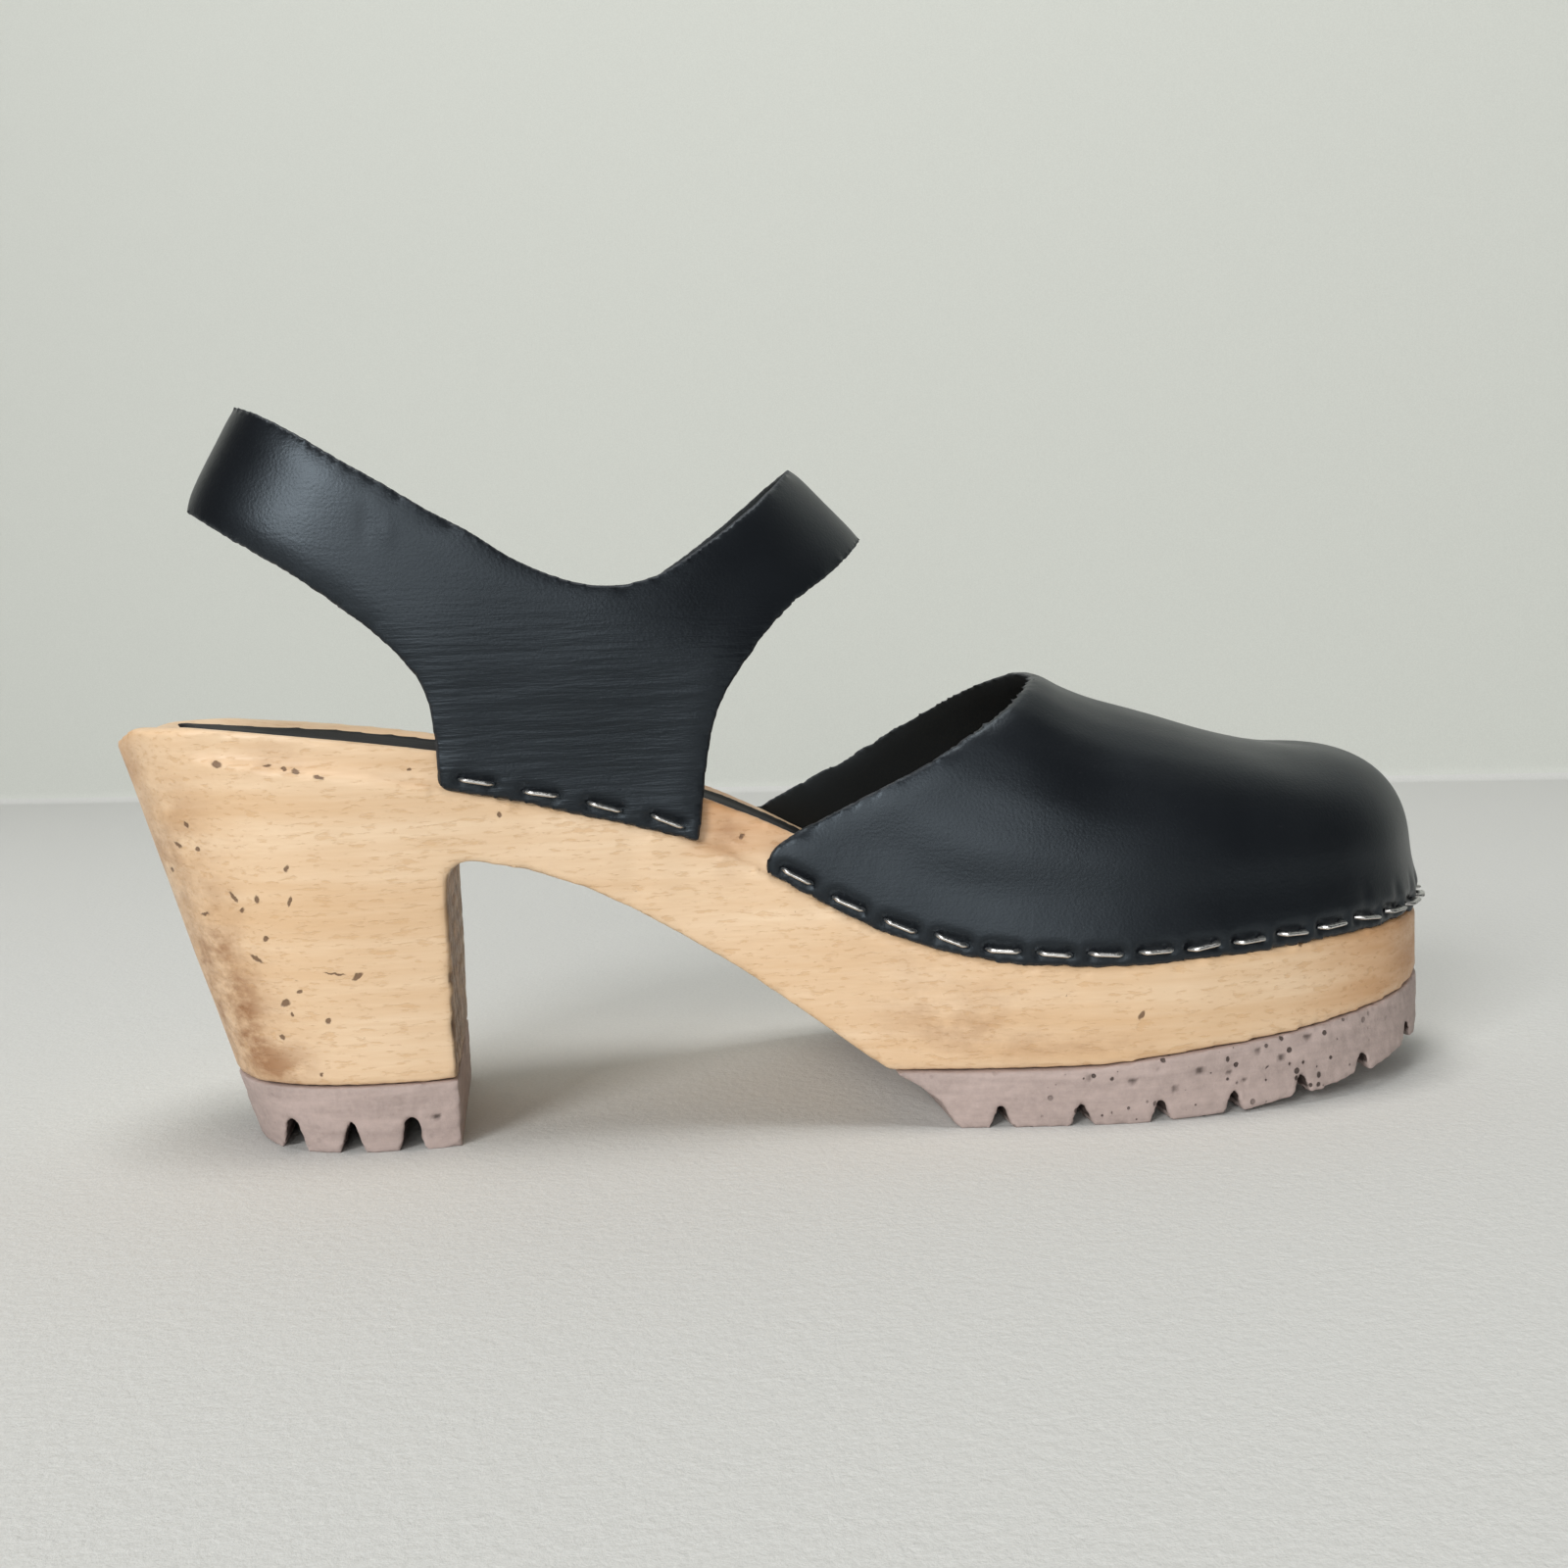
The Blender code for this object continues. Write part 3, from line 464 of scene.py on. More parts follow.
def wood_finish():
    """Pale close-grained wood with flecks, tan zones and brown dirt."""
    colours = settings().colours
    material, tree, shader = new_finish("clog_wood", Coat_Weight=0.12, Coat_Roughness=0.35, Coat_IOR=1.45)
    place = object_place(tree)
    bands = noise(tree, stretched(tree, place, (9.0, 55.0, 210.0)), 1.0, 3.0, 0.6)
    fibres = noise(tree, stretched(tree, place, (60.0, 700.0, 1300.0)), 1.0, 2.0, 0.6)
    flecks = mottle(tree, stretched(tree, place, (300.0, 900.0, 1250.0)), 1.0, 0.56, 0.07)
    marks = mottle(tree, stretched(tree, place, (420.0, 460.0, 560.0)), 1.0, 0.745, 0.02)
    zones = noise(tree, place, 26.0, 2.0)
    base = blend_colours(tree, remap(tree, bands, 0.36, 0.66), rgba(colours.wood), rgba(colours.wood_streak))
    base = blend_colours(tree, maths(tree, "MULTIPLY", remap(tree, fibres, 0.42, 0.66), 0.30), base,
                         rgba(colours.wood_streak))
    base = blend_colours(tree, maths(tree, "MULTIPLY", remap(tree, zones, 0.45, 0.65), 0.22), base,
                         rgba(colours.wood_tan))
    base = blend_colours(tree, maths(tree, "MULTIPLY", flecks, 0.42), base, rgba(colours.wood_tan))
    tan = maths(tree, "MULTIPLY", mask_of(tree, "tan"), remap(tree, bands, 0.3, 0.6, 0.55, 1.0))
    base = blend_colours(tree, tan, base, rgba(colours.wood_tan), "MULTIPLY")
    cloud = noise(tree, stretched(tree, place, (120.0, 120.0, 190.0)), 1.0, 5.0, 0.65)
    dirt = maths(tree, "MULTIPLY", mask_of(tree, "stain"), remap(tree, cloud, 0.36, 0.62, 0.15, 1.0))
    base = blend_colours(tree, dirt, base, rgba(colours.stain))
    # The heel's breast face, low down, darkened towards the fleck colour with a cloudy ragged edge.
    breast_darkening = maths(tree, "MULTIPLY", mask_of(tree, "breast_darkening"), remap(tree, cloud, 0.30, 0.55, 0.4, 1.0))
    base = blend_colours(tree, breast_darkening, base, rgba(colours.fleck))
    base = blend_colours(tree, maths(tree, "MULTIPLY", marks, 0.55), base, rgba(colours.fleck))
    nicks = marks_on_side(tree, place, NICKS, 0.9 * MM)
    base = blend_colours(tree, maths(tree, "MULTIPLY", nicks, 0.85), base, rgba(colours.fleck))
    tree.links.new(base, shader.inputs["Base Color"])
    tree.links.new(remap(tree, fibres, 0.3, 0.7, 0.42, 0.60), shader.inputs["Roughness"])
    height = maths(tree, "SUBTRACT", fibres, maths(tree, "MULTIPLY", flecks, 0.6))
    marks_and_nicks = maths(tree, "MAXIMUM", marks, nicks)
    height = maths(tree, "SUBTRACT", height, maths(tree, "MULTIPLY", marks_and_nicks, 2.0))
    tree.links.new(bump(tree, height, 0.08 * MM), shader.inputs["Normal"])
    return material


def leather_finish():
    """Near-black leather: pebbled satin grain, matt flesh side and grey cut edges."""
    colours = settings().colours
    grain = settings().leather.grain
    material, tree, shader = new_finish("clog_leather", Specular_IOR_Level=0.46,
                                        Specular_Tint=(0.74, 0.88, 1.0, 1.0))
    place = object_place(tree)
    wrinkles = noise(tree, stretched(tree, place, (75.0, 150.0, 820.0)), 1.0, 3.0, 0.6)
    pebble = add_node(tree, "ShaderNodeTexVoronoi", {"Vector": place, "Scale": 1 / grain, "Randomness": 1.0},
                      {"feature": "SMOOTH_F1"}).outputs["Distance"]
    pore = noise(tree, place, 2.2 / grain, 3.0, 0.6)
    patches = noise(tree, place, 30.0, 3.0)
    edge = mask_of(tree, "cut_edge")
    inside = mask_of(tree, "inside")
    base = blend_colours(tree, remap(tree, patches, 0.35, 0.65, 0.0, 0.35), rgba(colours.leather),
                         rgba(tuple(1.9 * c for c in colours.leather)))
    base = blend_colours(tree, inside, base, rgba(colours.leather_inside))
    fray = remap(tree, noise(tree, place, 900.0, 3.0), 0.35, 0.65, 0.35, 1.0)
    base = blend_colours(tree, maths(tree, "MULTIPLY", edge, fray), base, rgba(colours.leather_edge))
    scuff = mottle(tree, stretched(tree, place, (260.0, 260.0, 900.0)), 1.0, 0.68, 0.08)
    base = blend_colours(tree, maths(tree, "MULTIPLY", scuff, 0.12), base, rgba(colours.leather_edge))
    tree.links.new(base, shader.inputs["Base Color"])
    gloss = remap(tree, patches, 0.35, 0.65, 0.34, 0.43)
    gloss = maths(tree, "ADD", gloss, maths(tree, "MULTIPLY", maths(tree, "MAXIMUM", inside, edge), 0.35))
    tree.links.new(gloss, shader.inputs["Roughness"])
    height = maths(tree, "ADD", maths(tree, "MULTIPLY", pebble, 1.1), maths(tree, "MULTIPLY", pore, 0.5))
    creases = maths(tree, "MULTIPLY", wrinkles, mask_of(tree, "wrinkle"))
    creased = bump(tree, creases, 0.28 * MM)
    tree.links.new(bump(tree, height, 0.024 * MM, creased), shader.inputs["Normal"])
    return material


def rubber_finish():
    """Grey-brown rubber, pitted and scuffed, with painted shade and dirt darkening its grooves."""
    colours = settings().colours
    material, tree, shader = new_finish("clog_rubber", Specular_IOR_Level=0.3)
    place = object_place(tree)
    smear = noise(tree, stretched(tree, place, (45.0, 120.0, 420.0)), 1.0, 4.0, 0.6)
    cells = add_node(tree, "ShaderNodeTexVoronoi", {"Vector": place, "Scale": 620.0, "Randomness": 1.0})
    shrink = add_node(tree, "ShaderNodeSeparateColor", {0: cells.outputs["Color"]}).outputs[0]
    hole = maths(tree, "MULTIPLY", maths(tree, "POWER", shrink, 3.0), 0.42)
    pits = remap(tree, maths(tree, "SUBTRACT", hole, cells.outputs["Distance"]), 0.0, 0.10)
    dust = noise(tree, place, 900.0, 4.0, 0.7)
    base = blend_colours(tree, remap(tree, smear, 0.35, 0.65), rgba(colours.rubber),
                         rgba(tuple(0.80 * c for c in colours.rubber)))
    base = blend_colours(tree, remap(tree, dust, 0.40, 0.70, 0.0, 0.30), base,
                         rgba(tuple(1.25 * c for c in colours.rubber)))
    worn = maths(tree, "MULTIPLY", pits, maths(tree, "ADD", mask_of(tree, "porous"), 0.12))
    base = blend_colours(tree, maths(tree, "MULTIPLY", worn, 0.8), base, rgba(colours.rubber_pit_and_groove_shade))
    # Painted shade and dirt: the grooves are darkened nearly to black with the colour of the pits.
    base = blend_colours(tree, mask_of(tree, "groove_shade_and_dirt"), base, rgba(colours.rubber_pit_and_groove_shade))
    base = blend_colours(tree, maths(tree, "MULTIPLY", mask_of(tree, "pit"), 0.85), base,
                         rgba(colours.rubber_pit_and_groove_shade))
    tree.links.new(base, shader.inputs["Base Color"])
    tree.links.new(remap(tree, smear, 0.3, 0.7, 0.70, 0.88), shader.inputs["Roughness"])
    height = maths(tree, "SUBTRACT", dust, maths(tree, "MULTIPLY", worn, 2.0))
    tree.links.new(bump(tree, height, 0.15 * MM), shader.inputs["Normal"])
    return material


def steel_finish():
    """Bright drawn wire, greyer where a staple is tarnished."""
    colours = settings().colours
    material, tree, shader = new_finish("clog_steel", Metallic=1.0)
    place = object_place(tree)
    tarnish = maths(tree, "ADD", mask_of(tree, "tarnish"), mottle(tree, place, 900.0, 0.55, 0.2))
    base = blend_colours(tree, maths(tree, "MULTIPLY", tarnish, 0.7), rgba(colours.steel),
                         rgba((0.20, 0.19, 0.18)))
    tree.links.new(base, shader.inputs["Base Color"])
    tree.links.new(remap(tree, noise(tree, place, 1500.0), 0.3, 0.7, 0.22, 0.42), shader.inputs["Roughness"])
    tree.links.new(bump(tree, noise(tree, place, 2200.0, 2.0), 0.03 * MM), shader.inputs["Normal"])
    return material


def insole_finish():
    """Black sock leather with a fine nap and foot marks."""
    colours = settings().colours
    material, tree, shader = new_finish("clog_insole", Specular_IOR_Level=0.12)
    place = object_place(tree)
    nap = noise(tree, place, 1600.0, 3.0, 0.7)
    marks = noise(tree, place, 40.0, 3.0)
    base = blend_colours(tree, remap(tree, marks, 0.4, 0.65, 0.0, 0.6), rgba(colours.insole),
                         rgba((0.022, 0.021, 0.020)))
    tree.links.new(base, shader.inputs["Base Color"])
    tree.links.new(remap(tree, marks, 0.35, 0.65, 0.58, 0.80), shader.inputs["Roughness"])
    tree.links.new(bump(tree, nap, 0.04 * MM), shader.inputs["Normal"])
    return material


# Small forms

def add_dents(points, spots, depth):
    """Depth of soft dents at the points; a spot is a place, its radii along X, Y and Z, and a share."""
    total = np.zeros(len(points))
    for x, y, z, wide_x, wide_y, wide_z, share in spots:
        far = ((points - (x * MM, y * MM, z * MM)) / (wide_x * MM, wide_y * MM, wide_z * MM))**2
        total += share * np.exp(-far.sum(1))
    return depth * total


# Stains of the wood: place from the heel's back, Y and Z in mm, radii in mm, strength
STAINS = (
    (22, -22, 20, 7, 40, 14, 1.0), (17, -24, 36, 7, 40, 13, 0.9), (31, -24, 16, 6, 40, 5, 0.55),
    (8, -10, 55, 9, 40, 10, 0.50), (13, -24, 64, 9, 40, 9, 0.26), (4, -10, 73, 5, 40, 4, 0.50),
    (33, -24, 74, 5, 40, 3, 0.42), (152, -44, 21, 12, 40, 6, 0.50), (170, -44, 15, 20, 40, 3, 0.36),
    (150, -44, 33, 14, 40, 5, 0.16), (238, -30, 33, 12, 40, 3, 0.22),
    (113, -34, 55, 3, 40, 6, 0.55), (89, -32, 66, 2, 40, 5, 0.35),
)
# Dents of the wood: place from the heel's back, Y and Z in mm, radii in mm, share of the depth
DENTS = (
    (33, -30, 73.0, 2.4, 8, 0.9, 0.5), (38, -30, 71.9, 1.6, 8, 0.8, 0.5), (14, -26, 73.5, 1.6, 8, 0.8, 0.4),
    (31, -29, 29.5, 1.4, 8, 1.0, 0.8), (24, -27, 45.0, 1.6, 8, 0.8, 0.6), (9, -20, 60.0, 3.0, 9, 1.6, 0.5),
    (12, -22, 52.0, 2.0, 9, 2.2, 0.5), (6, -18, 68.0, 2.6, 9, 1.8, 0.45), (213, -45, 31.0, 1.2, 8, 1.0, 0.5),
)
# Nicks filled with dirt: place from the heel's back, Y and Z, two radii in mm and a lean in degrees
NICKS = (
    (17.0, -26, 45.5, 1.2, 0.35, -18), (23.3, -26, 49.0, 1.2, 0.3, 58), (24.6, -26, 46.6, 0.5, 0.45, 0),
    (27.6, -27, 48.6, 0.35, 0.7, 0), (33.6, -28, 48.2, 0.3, 0.95, 8), (28.6, -27, 41.2, 0.5, 0.45, 0),
    (26.5, -26, 37.4, 1.4, 0.35, 30), (44.6, -29, 33.8, 1.1, 0.45, -38), (40.5, -29, 34.4, 1.8, 0.16, 6),
    (31.2, -27, 29.0, 0.95, 0.65, -25), (34.0, -28, 31.2, 0.5, 0.3, 0), (38.8, -28, 25.6, 0.5, 0.6, 40),
    (30.0, -27, 22.5, 0.55, 0.5, 0), (32.2, -27, 27.0, 0.3, 0.5, 0), (36.8, -28, 15.4, 0.3, 0.4, 0),
    (71.7, -31, 62.0, 0.45, 0.4, 0), (33.5, -29, 54.2, 0.4, 0.6, 30), (13.2, -21, 58.6, 1.0, 0.4, 30),
    (15.5, -22, 62.5, 0.8, 0.3, 60), (17.2, -23, 57.9, 0.5, 0.5, 0), (10.6, -20, 53.4, 0.4, 0.6, 20),
    (22.5, -26, 73.4, 0.9, 0.5, 10), (31.5, -29, 72.8, 0.7, 0.3, 0), (34.2, -29, 72.1, 0.6, 0.25, 10),
    (36.4, -29, 71.6, 0.8, 0.3, 12), (40.5, -30, 70.4, 1.0, 0.35, 16), (56.0, -30, 70.8, 0.3, 0.3, 0),
    (147.0, -42, 43.6, 0.6, 0.5, 20), (152.4, -43, 40.4, 0.5, 0.3, 0), (219.0, -46, 31.2, 0.5, 1.2, 20),
    (128.6, -37, 52.0, 0.5, 0.35, 0), (131.0, -38, 50.6, 0.4, 0.3, 0), (133.6, -38, 49.4, 0.6, 0.25, 20),
    (115.6, -34, 55.4, 0.35, 0.7, 30), (186.0, -45, 20.2, 0.4, 0.9, 40), (244.5, -31, 33.0, 0.3, 0.3, 0),
)


def dress_wood():
    """The sole with rounded rims, hand-sanded sides, nicks and dirt."""
    own = settings().wood
    piece = fine_copy("wooden_sole", "wood_sole", own.mesh_size)
    mesh = piece.data
    edges = edges_of(mesh)
    points = smooth_faces(points_of(mesh), edges, 4)
    station = points[:, 0] - HEEL_BACK
    set_points(mesh, points)
    normals = normals_of(mesh)
    beside = points.copy()
    beside[:, 0] -= HEEL_BACK
    dent = add_dents(beside, DENTS, 1.0)
    shelf = (77.2 - 0.155 * station / MM) * MM
    shelf_share = ease(station, 14 * MM, 21 * MM) * (1 - ease(station, 34 * MM, 50 * MM))
    above = ease(points[:, 2] - shelf, -0.4 * MM, 0.5 * MM) * (1 - ease(points[:, 2] - shelf, 1 * MM, 9 * MM))
    recess = own.shelf * shelf_share * above * ease(-normals[:, 2], -0.9, -0.6)
    uneven = wave_noise(points / (2.2, 1.0, 1.0), 17 * MM, 3)
    near_tread = ease(-np.abs(points[:, 2] - LIFT_TOP), -1.6 * MM, -0.2 * MM) * (station < BREAST - HEEL_BACK)
    ragged = wave_noise(points, 3.2 * MM, 5)
    breast = ease(normals[:, 0], 0.45, 0.9) * (np.abs(points[:, 0] - BREAST) < 3 * MM)
    chips = breast * np.clip(ragged, 0, 1) * 0.5 * MM
    moved = own.hollow * uneven + 0.12 * MM * near_tread * ragged - own.nick * dent - chips - recess
    set_points(mesh, points + normals * moved[:, None])
    set_mask(mesh, "stain", add_dents(beside, STAINS, 1.0))
    toe = ease(station, 205 * MM, 258 * MM)
    between = ease(-np.abs(station - 116 * MM), -14 * MM, -6 * MM) * ease(points[:, 2], 50 * MM, 56 * MM)
    set_mask(mesh, "tan", 0.75 * toe + 0.65 * between + 0.35 * ease(-station, -10 * MM, 0.0))
    # The heel's breast face below 66 mm is marked to be darkened.
    low_breast = ease(-points[:, 2], -82 * MM, -66 * MM)
    set_mask(mesh, "breast_darkening", breast * (0.72 + 0.25 * ragged) * low_breast)
    wear_piece(piece, ["wood_sole"], wood_finish())


# Pits of the tread and the lift: place from the heel's back, Y and Z in mm, radii in mm, share
PITS = (
    (51, -26, 9.6, 1.0, 6, 0.6, 0.6), (57, -26, 6.2, 1.2, 6, 0.8, 0.9), (61, -27, 11.0, 0.8, 6, 1.2, 0.5),
    (176, -45, 9.0, 0.9, 6, 0.7, 0.8), (184, -46, 8.0, 1.2, 6, 0.8, 0.9), (189, -46, 9.8, 0.8, 6, 0.6, 0.6),
    (197, -46, 9.0, 1.3, 6, 0.9, 0.9), (203, -46, 8.0, 1.0, 6, 0.7, 0.8), (209, -46, 11.5, 0.9, 6, 0.8, 0.8),
    (214, -46, 9.6, 1.1, 6, 0.9, 0.9), (220, -45, 12.8, 1.4, 6, 0.9, 0.9), (206, -46, 6.2, 0.7, 6, 0.6, 0.8),
    (192, -46, 6.0, 0.8, 6, 0.7, 0.9), (166, -44, 6.0, 0.8, 6, 0.6, 0.5), (236, -40, 16.0, 0.8, 6, 0.6, 0.6),
)


def dress_rubber(name, node, seed):
    """A lugged rubber piece with worn corners, pits, torn rims along its grooves and a mask for the painted
    shade and dirt in them.
    """
    own = settings().rubber
    piece = fine_copy(name, node, own.mesh_size)
    mesh = piece.data
    edges = edges_of(mesh)
    points = smooth_faces(points_of(mesh), edges, 2)
    set_points(mesh, points)
    normals = normals_of(mesh)
    open_way = reach(points, normals, tree_of(mesh), 9 * MM)
    # How far a point is sunk between the lugs, found by a ray along its normal: it places the painted shade
    # and dirt in the grooves and their torn rims.
    groove_shade_and_dirt = 1 - ease(open_way, 3.0 * MM, 8.5 * MM)
    beside = points.copy()
    beside[:, 0] -= HEEL_BACK
    pit = add_dents(beside, PITS, 1.0)
    floor_share = ease(points[:, 2], 0.4 * MM, 2.5 * MM)
    torn = diffuse(groove_shade_and_dirt[:, None], edges, 4)[:, 0] * np.clip(wave_noise(points, 2.4 * MM, seed), -1, 1)
    rough = wave_noise(points, 6 * MM, seed + 1) * 0.6 + wave_noise(points, 2.6 * MM, seed + 2) * 0.4
    moved = own.wear * rough + 0.5 * MM * torn - own.pit * pit
    moved *= floor_share * ease(-normals[:, 2], -0.95, -0.75)
    set_points(mesh, points + normals * moved[:, None])
    # Painted shade and dirt in the grooves, at nearly full strength.
    set_mask(mesh, "groove_shade_and_dirt", groove_shade_and_dirt * 0.96)
    set_mask(mesh, "pit", ease(pit, 0.35, 0.8))
    porous = ease(-np.abs(beside[:, 0] - 200 * MM), -44 * MM, -20 * MM)
    set_mask(mesh, "porous", np.clip(porous + 0.4 * wave_noise(points, 14 * MM, seed + 5) * porous, 0, 1))
    return piece


# Creases of the leather: place from the heel's back, Y and Z in mm, radii in mm, share of a millimetre
VAMP_FOLDS = (
    (150, -40, 60, 22, 14, 5, -0.16), (176, -40, 66, 26, 14, 6, -0.14), (205, -36, 62, 16, 14, 7, 0.14),
    (160, -42, 50, 18, 14, 4, 0.10), (189, -44, 50, 15, 12, 5, 0.10), (231, -22, 70, 10, 20, 5, 0.16),
    (246, 6, 62, 6, 18, 6, -0.14), (205, 30, 66, 20, 14, 7, -0.16), (170, 38, 60, 22, 14, 6, 0.14),
    (172, 0, 88, 9, 24, 4, -0.20),
)
STRAP_FOLDS = (
    (76, -32, 91, 11, 8, 1.1, -0.13), (88, -32, 86, 13, 8, 1.0, -0.12), (80, -32, 81, 12, 8, 1.0, -0.13),
    (70, -32, 85, 6, 8, 0.9, -0.15), (97, -32, 80, 10, 8, 0.9, -0.12), (90, -32, 76, 12, 8, 1.0, -0.10),
    (51, -26, 115, 1.4, 10, 4.0, -0.22), (55, -28, 113, 1.2, 10, 2.5, 0.16),
    (75, -32, 113, 1.2, 8, 0.8, -0.4),
    (104, -32, 104, 9, 10, 6, -0.14), (84, -32, 108, 14, 10, 5, -0.12),
    (78, 32, 88, 10, 8, 1.6, -0.14), (92, 32, 82, 12, 8, 1.2, 0.12), (60, 30, 112, 10, 10, 6, -0.14),
)
# Gathers at the toe, as angles round the toe's middle in degrees, with a share of the depth
GATHERS = ((-62, 0.3), (-48, 0.45), (-37, 0.6), (-28, 0.95), (-20, 0.7), (-12, 1.0), (-5, 0.8), (3, 0.95),
           (11, 0.7), (19, 0.9), (28, 0.6), (38, 0.5), (50, 0.35), (63, 0.25))
TOE_MIDDLE = (TOE_TIP - 46 * MM, 0.0)


def press_staples(points, places, puff, bite):
    """How far the leather stands out round the staples: puffed between them, bitten under them."""
    out = np.zeros(len(points))
    band = np.zeros(len(points))
    held = np.zeros(len(points))
    for middle, along, across, outward in places:
        off = points - middle
        run, rise, depth = off @ along, off @ across, off @ outward
        near = np.exp(-(depth / (6 * MM))**2)
        band = np.maximum(band, near * np.exp(-(run / (9 * MM))**4) * np.exp(-(rise / (3.4 * MM))**2))
        crown = np.exp(-(run / (3.9 * MM))**4) * np.exp(-(rise / (1.7 * MM))**2)
        ends = sum(np.exp(-((run - end)**2 + rise**2) / (0.85 * MM)**2) for end in (-2.9 * MM, 2.9 * MM))
        held = np.maximum(held, near * (crown + 1.1 * ends))
    out += puff * band * (1 - np.clip(held, 0, 1)) - bite * np.clip(held, 0, 1.8)
    return out, held


def dress_leather(name, node, staples, folds, seed, material, centre, wrinkle_zone):
    """A leather shell: smooth faces, soft creases, staple marks and a slightly wandering cut edge."""
    own = settings().leather
    piece = fine_copy(name, node, own.mesh_size)
    mesh = piece.data
    edges = edges_of(mesh)
    points = diffuse(points_of(mesh), edges, 2)
    set_points(mesh, points)
    wall = reach(points, -normals_of(mesh), tree_of(mesh), 12 * MM)
    cut_edge = ease(wall, 2.9 * MM, 4.2 * MM)
    rim = np.clip(diffuse(cut_edge[:, None], edges, 5)[:, 0] * 2.5, 0, 1)
    points = smooth_faces(points, edges, 70, 1 - rim)
    set_points(mesh, points)
    normals = normals_of(mesh)
    from_axis = points - centre(points)
    faces_axis = (normals * from_axis).sum(1) / np.linalg.norm(from_axis, axis=1)
    inside = ease(-faces_axis, 0.0, 0.3) * (1 - cut_edge)
    sheet_side = np.where((normals * from_axis).sum(1) < 0, -1.0, 1.0)
    beside = points.copy()
    beside[:, 0] -= HEEL_BACK
    outward, held = press_staples(points, staple_places(staples), own.puff, own.bite)
    outward *= (sheet_side > 0) * (1 - 0.7 * cut_edge)
    fold = add_dents(beside, folds, 1.0 * MM)
    soft = 0.16 * MM * wave_noise(points, 26 * MM, seed)
    edge_noise = wave_noise(points, 2.6 * MM, seed + 1) * 0.6 + wave_noise(points, 7 * MM, seed + 2) * 0.5
    frayed = own.wander * edge_noise * cut_edge * (0.25 + 0.75 * ease(-normals[:, 2], 0.2, 0.6))
    moved = outward + (fold + soft) * sheet_side * (1 - cut_edge) + frayed
    set_points(mesh, points + normals * moved[:, None])
    set_mask(mesh, "cut_edge", cut_edge)
    set_mask(mesh, "inside", inside)
    low, high = wrinkle_zone
    set_mask(mesh, "wrinkle", (1 - ease(points[:, 2], low, high)) * (1 - cut_edge) + 0.10)
    wear_piece(piece, [node], material)
    return piece


def vamp_centre(points):
    """Points inside the toe room that the vamp's outer face looks away from."""
    centre = points.copy()
    centre[:, 0] = np.minimum(points[:, 0], TOE_TIP - 32 * MM)
    centre[:, 1] = 0.0
    centre[:, 2] = 46 * MM
    return centre


def strap_centre(points):
    """Points inside the ankle's loop."""
    centre = points.copy()
    centre[:, 0] = np.clip(points[:, 0], -75 * MM, -28 * MM)
    centre[:, 1] = 0.0
    return centre


def gather_toe(piece):
    """Gathers and a crumpled tuft where the leather is drawn together at the toe."""
    own = settings().leather
    mesh = piece.data
    points = points_of(mesh)
    normals = normals_of(mesh)
    angle = np.degrees(np.arctan2(points[:, 1] - TOE_MIDDLE[1], points[:, 0] - TOE_MIDDLE[0]))
    ahead = ease(points[:, 0], TOE_TIP - 42 * MM, TOE_TIP - 18 * MM)
    low = points[points[:, 0] > TOE_TIP - 2 * MM, 2].min()
    band = np.exp(-((points[:, 2] - low - 2 * MM) / (5.5 * MM))**4)
    moved = np.zeros(len(points))
    for degrees, share in GATHERS:
        moved -= own.pleat * share * np.exp(-((angle - degrees) / 1.6)**2)
        moved += 0.4 * own.pleat * share * np.exp(-((angle - degrees - 3.6) / 1.9)**2)
    angle_in_radians = np.radians(angle)
    outward = normals[:, 0] * np.cos(angle_in_radians) + normals[:, 1] * np.sin(angle_in_radians)
    outer = ease(outward, 0.1, 0.5)
    near_tip = np.exp(-((angle + 8) / 11)**4)
    at_edge = np.exp(-((points[:, 2] - low - 3 * MM) / (4 * MM))**4)
    tip = near_tip * at_edge * ahead * outer
    crumple = wave_noise(points, 3.4 * MM, 41) + 0.5 * wave_noise(points, 1.9 * MM, 42)
    moved = moved * band * ahead * outer * (1 - tip) + tip * (0.8 + 0.9 * crumple) * MM
    set_points(mesh, points + normals * moved[:, None])


# Staples

